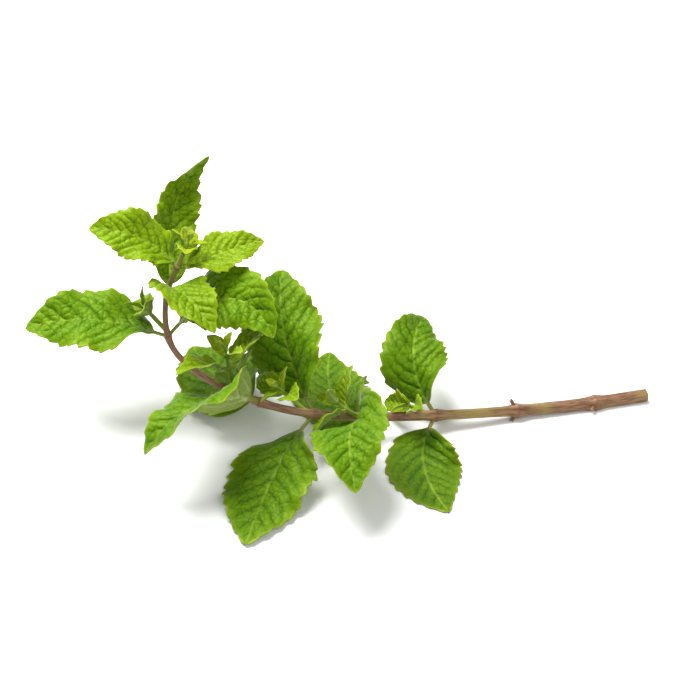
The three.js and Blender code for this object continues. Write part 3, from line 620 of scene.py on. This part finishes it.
def shell_quads(count, columns):
    """Faces of two surfaces of points, one over the other, and of the rims between them."""
    below = count * columns
    i, j = np.meshgrid(np.arange(count - 1), np.arange(columns - 1), indexing="ij")
    a = (i * columns + j).ravel()
    left = np.arange(count - 1) * columns
    right = left + columns - 1
    first = np.arange(columns - 1)
    last = (count - 1) * columns + first
    return np.concatenate([
        np.stack([a, a + 1, a + columns + 1, a + columns], -1),
        np.stack([a, a + columns, a + columns + 1, a + 1], -1) + below,
        np.stack([left, left + columns, below + left + columns, below + left], -1),
        np.stack([right, below + right, below + right + columns, right + columns], -1),
        np.stack([first + 1, first, below + first, below + first + 1], -1),
        np.stack([last, last + 1, below + last + 1, below + last], -1),
    ])


def leaf_grid(grid, root, leaf):
    """Adds a leaf: a thin shell on both sides of its waved and wrinkled middle surface."""
    rows = leaf_rows(leaf)
    columns = 2 * max(5, int(leaf["width"] / 2 / leaf["across"])) + 1
    t = rows[:, None]
    s = np.linspace(-1, 1, columns)[None, :]
    s = s * (1 - EDGE_CROWDING + EDGE_CROWDING * s * s)
    on_stalk = 1 - smooth((t - PETIOLE_END) / PETIOLE_BLEND)
    q = lerp(s + 0 * t, np.sin(np.pi / 2 * s) + 0 * t, on_stalk)
    middle, y = middle_surface(root, leaf, rows, q)
    relief, ridge, marks = leaf_form(leaf, t, q, y)

    middle = middle + faces_out(middle) * relief[..., None]
    rest = HALF_BLADE + TABLE_GAP
    middle[..., 2] = rest + TABLE_EASE * np.log1p(np.exp((middle[..., 2] - rest) / TABLE_EASE))
    out_way = faces_out(middle)
    stalk_half = PETIOLE_HALF_DEPTH * petiole_size(leaf) * np.sqrt(1 - PETIOLE_ROUNDING * q * q)
    blade_half = FINE_HALF - EDGE_THINNING * np.abs(q) ** 8
    half = lerp(stalk_half, blade_half, smooth((t - PETIOLE_END) / PETIOLE_BLEND))
    groove = (GROOVE_DEPTH * (1 - smooth((t - GROOVE_FROM) / GROOVE_OVER))
              * bell(q, GROOVE_WIDTH) * petiole_size(leaf))
    upper = middle + out_way * (half - groove)[..., None]
    lower = middle - out_way * (half + ridge)[..., None]
    lower[..., 2] = np.maximum(lower[..., 2], LOWEST_UNDERSIDE)
    upper[..., 2] = np.maximum(upper[..., 2], LOWEST_TOP)

    # Flat places: the upper side is on the left, the underside on the right.
    margin, reach = 0.005, 0.485
    u, v = np.meshgrid((s[0] + 1) / 2, (rows - rows[0]) / (rows[-1] - rows[0]))
    places = np.concatenate([as_list(margin + reach * u, v), as_list(1 - margin - reach * u, v)])
    doubled = {key: np.concatenate([mark.ravel(), mark.ravel()]) for key, mark in marks.items()}
    doubled["under"] = np.repeat([0.0, 1.0], y.size)
    points = np.concatenate([upper.reshape(-1, 3), lower.reshape(-1, 3)])
    grid.add(points, shell_quads(len(rows), columns), places, doubled)


def large_leaf(entry, index):
    """A large leaf, rooted in the middle of the stem."""
    point, along, up = STEM.at(JOINTS[entry["joint"]])
    root = {"point": point, "along": along, "out": outward(along, up, math.radians(entry["side"]))}
    ways = {key: unit(entry[key]) for key in ("heads", "ends", "faces", "turns")}
    grid = Grid()
    leaf_grid(grid, root, {
        **LARGE, **entry, **ways, "cell": LARGE_CELL[0] + LARGE_CELL[1] * entry["length"],
        "seed": chance(index + 1), "tone": chance(index + 50),
    })
    return grid


def small_leaf(grid, root, length, angle, seed, age):
    """Adds a small leaf of a shoot, which bends outwards and a little down."""
    def turned(turn, along_share, out_share):
        a = math.radians(angle + turn)
        return root["along"] * along_share(a) + root["out"] * out_share(a)

    def bent(turn, sag):
        return unit(turned(turn, math.cos, math.sin) - UP * sag)

    def facing(turn):
        return unit(turned(turn, math.sin, lambda a: -math.cos(a)) + lean)

    lean = np.cross(root["along"], root["out"]) * SIDE_LEAN * (chance(seed + 0.5) - 0.5)
    leaf_grid(grid, root, {
        **SMALL, "length": length, "width": length * SLIM, "angle": angle, "age": age,
        "petiole": SMALL_PETIOLE + PETIOLE_SHARE * length, "wave": SMALL_WAVE * length,
        "heads": bent(MIDDLE_TURN, 0.0), "ends": bent(TIP_TURN, TIP_SAG),
        "faces": facing(MIDDLE_TURN), "turns": facing(TIP_TURN),
        "teeth": max(FEWEST_TEETH, round(length / TOOTH_SPACING)),
        "cell": SMALL_CELL[0] + SMALL_CELL[1] * length,
        "seed": chance(seed), "tone": chance(seed + 9),
    })


def stalk_tube(grid, line, age):
    """Adds a round stalk that thins towards its end, closed at both ends."""
    d = np.linspace(0, line.distance[-1], max(8, int(line.distance[-1] / STALK_STEP)))
    point, along, up = line.at(d)
    radius = lerp(STALK_RADIUS, STALK_RADIUS * STALK_TOP, smooth((d / d[-1] - 0.6) / 0.4))
    angle = angles_round(STALK_SIDES)
    ring = outward(along[:, None], up[:, None], angle)
    fluted = radius[:, None] * (1 + STALK_FLUTE * np.cos(4 * angle)[None])
    points = point[:, None] + ring * fluted[..., None]
    start, end = (points[k] * CAP_RING + point[k] * (1 - CAP_RING) for k in (0, -1))
    points = np.concatenate([start[None], points, end[None]])
    add_tube(grid, points, {"stalk": 1.0, "age": age, "tone": 0.5})


def leafy_end(grid, line, pairs, leaf_length, turn, seed, age):
    """Adds a stalk with pairs of small leaves at its end, each pair turned a quarter from the last,
    and a bud of two tiny leaves at the top."""
    def reach(pair):
        return pair * PAIR_STEP * leaf_length / USUAL_LEAF

    tip, along, up = line.point[-1], line.along[-1], line.up[-1]
    stalk_tube(grid, Line(np.vstack([line.point, tip + along * reach(pairs)]), line.up[0]), age)
    for pair in range(pairs + 1):
        angle = BUD_ANGLE if pair == pairs else lerp(OPEN_ANGLE, BUD_ANGLE, pair / (pairs + 1))
        for half in (0, 1):
            out = outward(along, up, turn + math.pi / 2 * pair + math.pi * half)
            root = {"point": tip + along * (reach(pair) - LEAF_SUNK), "along": along, "out": out}
            small_leaf(grid, root, leaf_length * YOUNGER ** pair, angle, seed + 2 * pair + half,
                       min(1.0, age + AGE_STEP * pair))


def side_shoot(entry, index):
    """A side shoot, which leaves the stem just above a leaf and bends the way that it heads."""
    point, along, up = STEM.at(JOINTS[entry["joint"]] + SHOOT_ROOT)
    out = outward(along, up, math.radians(entry["side"]))
    angle = math.radians(SHOOT_ANGLE)
    start = along * math.cos(angle) + out * math.sin(angle)
    heads = unit(entry["heads"])
    points = [point]
    for k in range(STALK_BENDS):
        way = unit(lerp(start, heads, smooth((k + 0.5) / STALK_BENDS)))
        points.append(points[-1] + way * (entry["stalk"] + STALK_SUNK) / STALK_BENDS)
    grid = Grid()
    leafy_end(grid, Line(points, square_to(out, start)), entry["pairs"], entry["leaf"],
              math.pi / 2, SEEDS_PER_SHOOT * (index + 1), SHOOT_AGE)
    return grid


def growing_tip():
    """The youngest pairs of leaves at the stem's end."""
    point, along, up = STEM.at(STEM_LENGTH)
    line = Line([point, point + along * TIP_NECK], up)
    grid = Grid()
    leafy_end(grid, line, TIP_PAIRS, TIP_LEAF, math.radians(LEAFY_ROLL + 90), TIP_SEED, TIP_AGE)
    return grid


def square_section(radius, angle):
    """The radius of a rounded square section at an angle from the middle of a flat side."""
    reach = np.abs(np.cos(angle)) ** SQUARENESS + np.abs(np.sin(angle)) ** SQUARENESS
    return radius / reach ** (1 / SQUARENESS)


def stem_rings():
    """Distances of the stem's rings of points from its foot, closer at its joints."""
    near = [j + np.arange(-JOINT_ZONE, JOINT_ZONE, JOINT_STEP) for j in JOINTS[1:-1]]
    d = np.concatenate([np.arange(0, STEM_LENGTH, STEM_STEP), *near, [STEM_LENGTH]])
    d = np.unique(np.round(d, 3))
    d = d[(d >= 0) & (d <= STEM_LENGTH)]
    return d[np.concatenate([[True], np.diff(d) > LEAST_STEP])]


def stem_grid():
    """The square stem, with ridged joints, fine flutes, a cut foot and torn stubs."""
    d = stem_rings()
    point, along, up = STEM.at(d)
    angle = angles_round(STEM_SIDES)
    turned = angle[None] - stem_roll(d)[:, None]
    size = stem_radius(d)[:, None]
    off_edge = np.abs(np.cos(2 * turned))
    flute = FLUTE_HEIGHT * np.cos(FLUTES * turned) * off_edge - HOLLOW_DEPTH * off_edge ** 3
    skin = SKIN_HEIGHT * noise2(
        d[:, None] / SKIN_LENGTH,
        SKIN_ROUND * np.cos(angle)[None] + SKIN_ROUND * np.sin(angle)[None], SKIN_SEED)
    ring = sum(bell(d - j, RING_WIDTH) for j in JOINTS[1:-1])
    scar = sum(bell(d - j - SCAR_AT, SCAR_WIDTH) for j in JOINTS[1:-1])
    radius = (square_section(size, turned) + (flute + skin) * size / FOOT_RADIUS
              + (RING_HEIGHT * ring - SCAR_DEPTH * scar)[:, None])
    out = outward(along[:, None], up[:, None], angle)
    points = point[:, None] + out * radius[..., None]

    cut = np.array([point[0] + (points[0] - point[0]) * share + along[0] * sink
                    for share, sink in CUT_RINGS[::-1]])
    end = point[-1] + (points[-1] - point[-1]) * TIP_RING
    points = np.concatenate([cut, points, end[None]])
    points[..., 2] = np.maximum(points[..., 2], 0.0)
    no_cut = np.zeros(len(cut))
    marks = {
        "cut": np.concatenate([np.linspace(1.0, CUT_SKIN, len(cut)), np.zeros(len(d) + 1)]),
        "distance": np.concatenate([no_cut, d, [STEM_LENGTH]]),
        "joint": np.concatenate([no_cut, ring, [0]]),
    }
    marks = {key: np.repeat(values, STEM_SIDES) for key, values in marks.items()}
    marks["around"] = np.tile(angle, len(points))
    u, v = tube_places(len(points), STEM_SIDES)
    strip = np.minimum(np.floor(v * STRIPS), STRIPS - 1)
    places = as_list((u * STRIP_FILL + strip) / STRIPS, v * STRIPS - strip)
    grid = Grid()
    grid.add(points.reshape(-1, 3), tube_quads(len(points), STEM_SIDES), places, marks)
    for joint in STUBS:
        torn_stubs(grid, joint)
    return grid


def torn_stubs(grid, joint):
    """Adds the two torn leaf stalks of a bare joint."""
    point, along, up = STEM.at(JOINTS[joint])
    angle = angles_round(STUB_SIDES)
    for half in (0, 1):
        turn = float(stem_roll(JOINTS[joint])) + math.pi * (half + (0.5 if joint % 2 else 0))
        out = outward(along, up, turn)
        way = unit(along * STUB_LEAN + out)
        share = STUB_SHORTEST + STUB_SPREAD * chance(7 * joint + half)
        length = STUB_LENGTH * share + float(stem_radius(JOINTS[joint]))
        line = Line([point, point + way * length * 0.5, point + way * length], square_to(along, way))
        d = np.linspace(0, length, STUB_RINGS)
        at, ways, ups = line.at(d)
        flare = STUB_FLARE * np.exp(-(d / STUB_FLARE_REACH))
        radius = PETIOLE_HALF_DEPTH * (0.9 + flare + 0.1 * smooth(d / length - 0.5))
        ring = outward(ways[:, None], ups[:, None], angle)
        torn = 0.25 * np.sin(angle * 3 + joint) + 0.2 * np.sin(angle * 5 + half)
        torn = torn[None] * smooth((d / length - 0.7) / 0.3)[:, None]
        points = at[:, None] + ring * radius[:, None, None] + ways[:, None] * torn[..., None]
        inner = point + way * (length - STUB_HOLLOW)
        sunk = [(points[-1] * left + inner * (1 - left))[None] for left in (0.5, 0.03)]
        points = np.concatenate([points, *sunk])
        points[..., 2] = np.maximum(points[..., 2], 0.0)
        dry = np.concatenate([smooth((d / length - 0.55) / 0.4) * 0.4, [0.8, 1.0]])
        add_tube(grid, points, {"cut": np.repeat(dry, STUB_SIDES), "distance": JOINTS[joint],
                                "joint": 0.5, "around": np.tile(angle, len(points))})


class Nodes:
    """Short ways to write a material's nodes."""

    def __init__(self, name):
        self.material = bpy.data.materials.new(name)
        self.material.use_nodes = True
        self.tree = self.material.node_tree
        self.tree.nodes.clear()

    def fill(self, socket, value):
        if isinstance(value, bpy.types.NodeSocket):
            self.tree.links.new(value, socket)
        else:
            socket.default_value = value

    def new(self, kind, inputs=(), **settings):
        node = self.tree.nodes.new(kind)
        for key, value in settings.items():
            setattr(node, key, value)
        for key, value in dict(inputs).items():
            self.fill(node.inputs[key], value)
        return node

    def place(self):
        return self.new("ShaderNodeTexCoord").outputs["Object"]

    def mark(self, name):
        return self.new("ShaderNodeAttribute", attribute_name=name).outputs["Fac"]

    def math(self, operation, a, b=0.0):
        return self.new("ShaderNodeMath", {0: a, 1: b}, operation=operation).outputs[0]

    def times(self, a, b):
        return self.math("MULTIPLY", a, b)

    def mix(self, share, a, b):
        """Colour a, or colour b where the share is 1."""
        node = self.new("ShaderNodeMix", data_type="RGBA")
        self.fill(node.inputs[0], share)
        for key, value in ((6, a), (7, b)):
            self.fill(node.inputs[key], (*value, 1.0) if isinstance(value, tuple) else value)
        return node.outputs[2]

    def bump(self, strength, distance, height):
        return self.new("ShaderNodeBump", {
            "Strength": strength, "Distance": distance, "Height": height,
        }).outputs[0]

    def show(self, shader):
        self.new("ShaderNodeOutputMaterial", {"Surface": shader.outputs[0]})
        return self.material

    def noise(self, vector, scale, detail=2.0, roughness=0.5):
        return self.new("ShaderNodeTexNoise", {
            "Vector": vector, "Scale": scale, "Detail": detail, "Roughness": roughness,
        }).outputs["Fac"]

    def span(self, value, low, high, to_low=0.0, to_high=1.0):
        """Goes smoothly from to_low to to_high as the value goes from low to high."""
        return self.new("ShaderNodeMapRange", {
            "Value": value, "From Min": low, "From Max": high, "To Min": to_low, "To Max": to_high,
        }, interpolation_type="SMOOTHSTEP").outputs[0]


# Colours of a leaf's upper side
OLD_AND_GROWN = (0.026, 0.087, 0.0010), (0.078, 0.193, 0.0015)
YOUNG_GREEN = (0.325, 0.430, 0.004)
BUD_GREEN = (0.45, 0.52, 0.010)
PATCH_GREEN = (0.24, 0.37, 0.004)
TONE_GREEN = (0.15, 0.32, 0.005)
GRAIN_GREEN = (0.02, 0.08, 0.002)
# Painted shade: a dark green laid into the grooves of the net and the side veins on the upper side
GROOVE_SHADE_GREEN = (0.010, 0.045, 0.001)
# Painted light: a paler green laid on the swells between side veins, as if they catch the light
SWELL_LIGHT_GREEN = (0.22, 0.40, 0.01)
RIB_GREEN = (0.34, 0.46, 0.06)
EDGE_GREEN = (0.30, 0.42, 0.01)
MARGIN_YELLOW = (0.42, 0.50, 0.03)
SPOT_BROWN = (0.11, 0.055, 0.014)

# Colours of its underside, its stalk and the light through it
UNDERSIDE = (0.260, 0.350, 0.095), (0.37, 0.46, 0.085)
UNDER_BUD = (0.23, 0.37, 0.012)
UNDER_PATCH = (0.19, 0.28, 0.05)
UNDER_NET = (0.40, 0.50, 0.18)
UNDER_VEIN = (0.48, 0.56, 0.23)
UNDER_RIB = (0.48, 0.55, 0.23)
PETIOLE = (0.27, 0.24, 0.07), (0.27, 0.37, 0.05)
GLOW = (0.24, 0.42, 0.004), (0.55, 0.68, 0.02)

# Colours of the stem
BARK = (0.070, 0.028, 0.014), (0.270, 0.140, 0.082)
MAUVE = (0.190, 0.085, 0.060), (0.420, 0.235, 0.175)
OLIVE = (0.25, 0.185, 0.060)
TIP_GREEN = (0.24, 0.28, 0.04)
JOINT_BROWN = (0.12, 0.045, 0.03)
FIBRE_BROWN = (0.30, 0.19, 0.09)
CUT_FACE = (0.20, 0.10, 0.045), (0.56, 0.50, 0.27)
PITH_FIBRE = (0.36, 0.27, 0.12)

# Grain of the noises, in swells to a metre, and height of the bumps, in metres
LEAF_PATCHES, LEAF_SPOTS, LEAF_GRAIN, LEAF_PORES = 140.0, 420.0, 1500.0, 1150.0
STEM_BLOTCHES, STEM_GRAIN = 95.0, 1700.0
LEAF_BUMP, STEM_BUMP = 0.00024, 0.0002


def upper_colour(n, marks, patch, grain):
    """The upper side: greener and darker with age, painted shade in its grooves, painted light on its
    swells, a thin pale margin.
    """
    age, net, side, edge = marks["age"], marks["net"], marks["side"], marks["edge"]
    top = n.mix(n.span(age, 0.0, 0.55), *OLD_AND_GROWN)
    top = n.mix(n.span(age, 0.47, 0.92), top, YOUNG_GREEN)
    top = n.mix(n.span(age, 0.74, 0.98), top, BUD_GREEN)
    top = n.mix(n.span(patch, 0.35, 0.7, 0.0, 0.55), top, n.mix(0.5, top, PATCH_GREEN))
    top = n.mix(n.times(marks["tone"], 0.3), top, TONE_GREEN)
    top = n.mix(n.span(grain, 0.3, 0.75, 0.0, 0.35), top, n.mix(0.5, top, GRAIN_GREEN))
    # Shade painted into the grooves of the net and the side veins, weaker on young leaves; grown sets
    # how strong it is
    grown = n.span(age, 0.6, 0.9, 1.0, 0.35)
    net_groove_shade = n.times(grown, n.span(net, 0.2, 1.0, 0.0, 0.8))
    top = n.mix(net_groove_shade, top, n.mix(0.8, top, GROOVE_SHADE_GREEN))
    # Light painted on the swells between the side veins
    top = n.mix(n.times(marks["swell"], 0.16), top, SWELL_LIGHT_GREEN)
    vein_groove_shade = n.times(grown, n.span(side, 0.2, 1.0, 0.0, 0.7))
    top = n.mix(vein_groove_shade, top, n.mix(0.8, top, GROOVE_SHADE_GREEN))
    top = n.mix(n.times(marks["rib"], n.span(patch, 0.3, 0.7, 0.15, 0.5)), top, RIB_GREEN)
    top = n.mix(n.times(edge, 0.22), top, EDGE_GREEN)
    margin = n.times(n.span(edge, 0.7, 1.0), n.span(patch, 0.35, 0.65, 0.12, 0.5))
    return n.mix(margin, top, MARGIN_YELLOW)


def under_colour(n, marks, patch):
    """The underside: pale, with paler raised veins that show less on young leaves."""
    age = marks["age"]
    low = n.mix(n.span(age, 0.0, 1.0), *UNDERSIDE)
    low = n.mix(n.span(age, 0.6, 0.85, 0.0, 0.9), low, UNDER_BUD)
    low = n.mix(n.span(patch, 0.3, 0.75, 0.0, 0.4), low, UNDER_PATCH)
    grown = n.span(age, 0.6, 0.85, 1.0, 0.25)
    low = n.mix(n.times(grown, n.span(marks["net"], 0.2, 1.0, 0.0, 0.4)), low, UNDER_NET)
    low = n.mix(n.times(grown, n.times(marks["side"], 0.65)), low, UNDER_VEIN)
    return n.mix(n.times(marks["rib"], 0.75), low, UNDER_RIB)


def leaf_material(name):
    n = Nodes(name)
    place = n.place()
    keys = ("age", "tone", "under", "rib", "side", "net", "edge", "stalk", "swell")
    marks = {key: n.mark(key) for key in keys}
    age, under = marks["age"], marks["under"]
    patch = n.noise(place, LEAF_PATCHES, 3.0, 0.55)
    grain = n.noise(place, LEAF_GRAIN, 2.0, 0.6)
    colour = n.mix(under, upper_colour(n, marks, patch, grain), under_colour(n, marks, patch))
    petiole = n.mix(n.span(age, 0.1, 0.7), *PETIOLE)
    colour = n.mix(n.times(marks["stalk"], 0.85), colour, petiole)
    spots = n.span(n.noise(place, LEAF_SPOTS, 3.0, 0.6), 0.62, 0.72)
    spots = n.times(spots, n.span(marks["edge"], 0.25, 0.9))
    spots = n.times(spots, n.span(marks["tone"], 0.55, 0.8))
    colour = n.mix(n.times(spots, 0.8), colour, SPOT_BROWN)

    roughness = n.math("ADD", n.span(under, 0.0, 1.0, 0.46, 0.70), n.span(grain, 0.2, 0.8, -0.06, 0.10))
    pores = n.new("ShaderNodeTexVoronoi", {
        "Vector": place, "Scale": LEAF_PORES, "Randomness": 0.9,
    }, feature="SMOOTH_F1").outputs["Distance"]
    height = n.math("ADD", n.times(pores, -0.55), n.times(grain, 0.45))
    bump = n.bump(0.6, LEAF_BUMP, height)
    skin = n.new("ShaderNodeBsdfPrincipled", {
        "Base Color": colour, "Roughness": roughness, "Normal": bump,
        "Specular IOR Level": 0.34, "Specular Tint": (0.70, 0.92, 0.17, 1.0),
    })
    glow = n.mix(0.5, colour, n.mix(n.span(age, 0.0, 1.0), *GLOW))
    through = n.new("ShaderNodeBsdfTranslucent", {"Color": glow, "Normal": bump})
    both = n.new("ShaderNodeMixShader", {0: 0.17, 1: skin.outputs[0], 2: through.outputs[0]})
    return n.show(both)


def stem_material(name):
    """Red-brown streaked bark, mauve further up and green at the tip, with a pale cut."""
    n = Nodes(name)
    place = n.place()
    distance, around, cut = n.mark("distance"), n.mark("around"), n.mark("cut")
    along_skin = n.new("ShaderNodeCombineXYZ", {
        0: n.times(distance, 0.10),
        1: n.times(n.math("SINE", around), 2.2),
        2: n.times(n.math("COSINE", around), 2.2),
    }).outputs[0]
    streak = n.noise(along_skin, 1.9, 5.0, 0.62)
    blotch = n.noise(place, STEM_BLOTCHES, 2.0, 0.5)
    grain = n.noise(place, STEM_GRAIN, 3.0, 0.6)
    colour = n.mix(n.span(streak, 0.32, 0.68), *BARK)
    colour = n.mix(n.span(blotch, 0.45, 0.7, 0.0, 0.6), colour, OLIVE)
    mauve = n.mix(n.span(streak, 0.3, 0.7), *MAUVE)
    upper = n.span(distance, STEM_LENGTH * 0.5, STEM_LENGTH * 0.72, 0.0, 0.75)
    colour = n.mix(upper, colour, mauve)
    green = n.math("ADD", n.span(distance, STEM_LENGTH * 0.88, STEM_LENGTH, 0.0, 0.8),
                   n.span(blotch, 0.45, 0.75, 0.0, 0.15))
    colour = n.mix(green, colour, TIP_GREEN)
    colour = n.mix(n.times(n.mark("joint"), 0.5), colour, JOINT_BROWN)
    colour = n.mix(n.span(grain, 0.3, 0.8, 0.0, 0.25), colour, FIBRE_BROWN)
    face = n.mix(n.span(cut, 0.62, 0.8), *CUT_FACE)
    face = n.mix(n.span(grain, 0.3, 0.8, 0.0, 0.5), face, PITH_FIBRE)
    colour = n.mix(n.span(cut, 0.3, 0.6), colour, face)

    height = n.math("ADD", n.times(streak, 0.7), n.times(grain, 0.4))
    bump = n.bump(0.5, STEM_BUMP, height)
    roughness = n.math("ADD", n.span(cut, 0.3, 0.7, 0.40, 0.75), n.span(grain, 0.2, 0.8, -0.05, 0.12))
    return n.show(n.new("ShaderNodeBsdfPrincipled", {
        "Base Color": colour, "Roughness": roughness, "Normal": bump,
        "Specular IOR Level": 0.40, "Specular Tint": (1.0, 0.80, 0.55, 1.0),
        "Subsurface Weight": 0.06, "Subsurface Scale": 0.002,
    }))


leaf_look = leaf_material("mint_leaf")
stem_look = stem_material("mint_stem")
build("fine_stem", stem_grid(), stem_look, "stem")
for index, entry in enumerate(LEAVES):
    build("fine_" + entry["name"], large_leaf(entry, index), leaf_look, entry["name"])
for index, entry in enumerate(SHOOTS):
    build("fine_" + entry["name"], side_shoot(entry, index), leaf_look, entry["name"])
build("fine_growing_tip", growing_tip(), leaf_look, "growing_tip")

# The studio, in metres: a white floor, two soft lights and a white sky
FLOOR_WHITES = (0.86, 0.86, 0.86), (0.88, 0.88, 0.88)
LIGHTS_AIM = (-0.09, 0, 0.02)
SKY_STRENGTH = 0.46
CAMERA_ELEVATION = math.radians(40)
CAMERA_DISTANCE = 0.64
CAMERA_AIM = Vector((-0.0925, 0.0, 0.027))
CAMERA_LENS = 100


def add_floor():
    x, z = 6.0, -0.0001
    mesh = bpy.data.meshes.new("floor")
    mesh.from_pydata([(-x, -x, z), (x, -x, z), (x, x, z), (-x, x, z)], [], [(0, 1, 2, 3)])
    n = Nodes("floor")
    tone = n.mix(n.span(n.noise(n.place(), 30.0), 0.3, 0.7), *FLOOR_WHITES)
    mesh.materials.append(n.show(n.new("ShaderNodeBsdfPrincipled", {
        "Base Color": tone, "Roughness": 0.75, "Specular IOR Level": 0.2,
    })))
    new_object("floor", mesh)


def add_light(name, place, size, power):
    data = bpy.data.lights.new(name, "AREA")
    data.shape, data.size, data.energy = "DISK", size, power
    lamp = new_object(name, data)
    lamp.location = place
    lamp.rotation_euler = (Vector(LIGHTS_AIM) - Vector(place)).to_track_quat("-Z", "Y").to_euler()


add_floor()
add_light("key", place=(-0.42, 0.32, 0.92), size=0.70, power=21.5)
add_light("fill", place=(0.45, -0.6, 0.8), size=0.9, power=4.0)

world = bpy.data.worlds.new("studio")
world.use_nodes = True
sky = world.node_tree.nodes["Background"]
sky.inputs["Color"].default_value = (1, 1, 1, 1)
sky.inputs["Strength"].default_value = SKY_STRENGTH
bpy.context.scene.world = world
bpy.context.scene.view_settings.view_transform = "Standard"
bpy.context.scene.view_settings.look = "None"

camera_data = bpy.data.cameras.new("camera")
camera_data.lens = CAMERA_LENS
camera = new_object("camera", camera_data)
back = Vector((0, -math.cos(CAMERA_ELEVATION), math.sin(CAMERA_ELEVATION)))
camera.location = CAMERA_AIM + back * CAMERA_DISTANCE
camera.rotation_euler = (-back).to_track_quat("-Z", "Y").to_euler()
bpy.context.scene.camera = camera
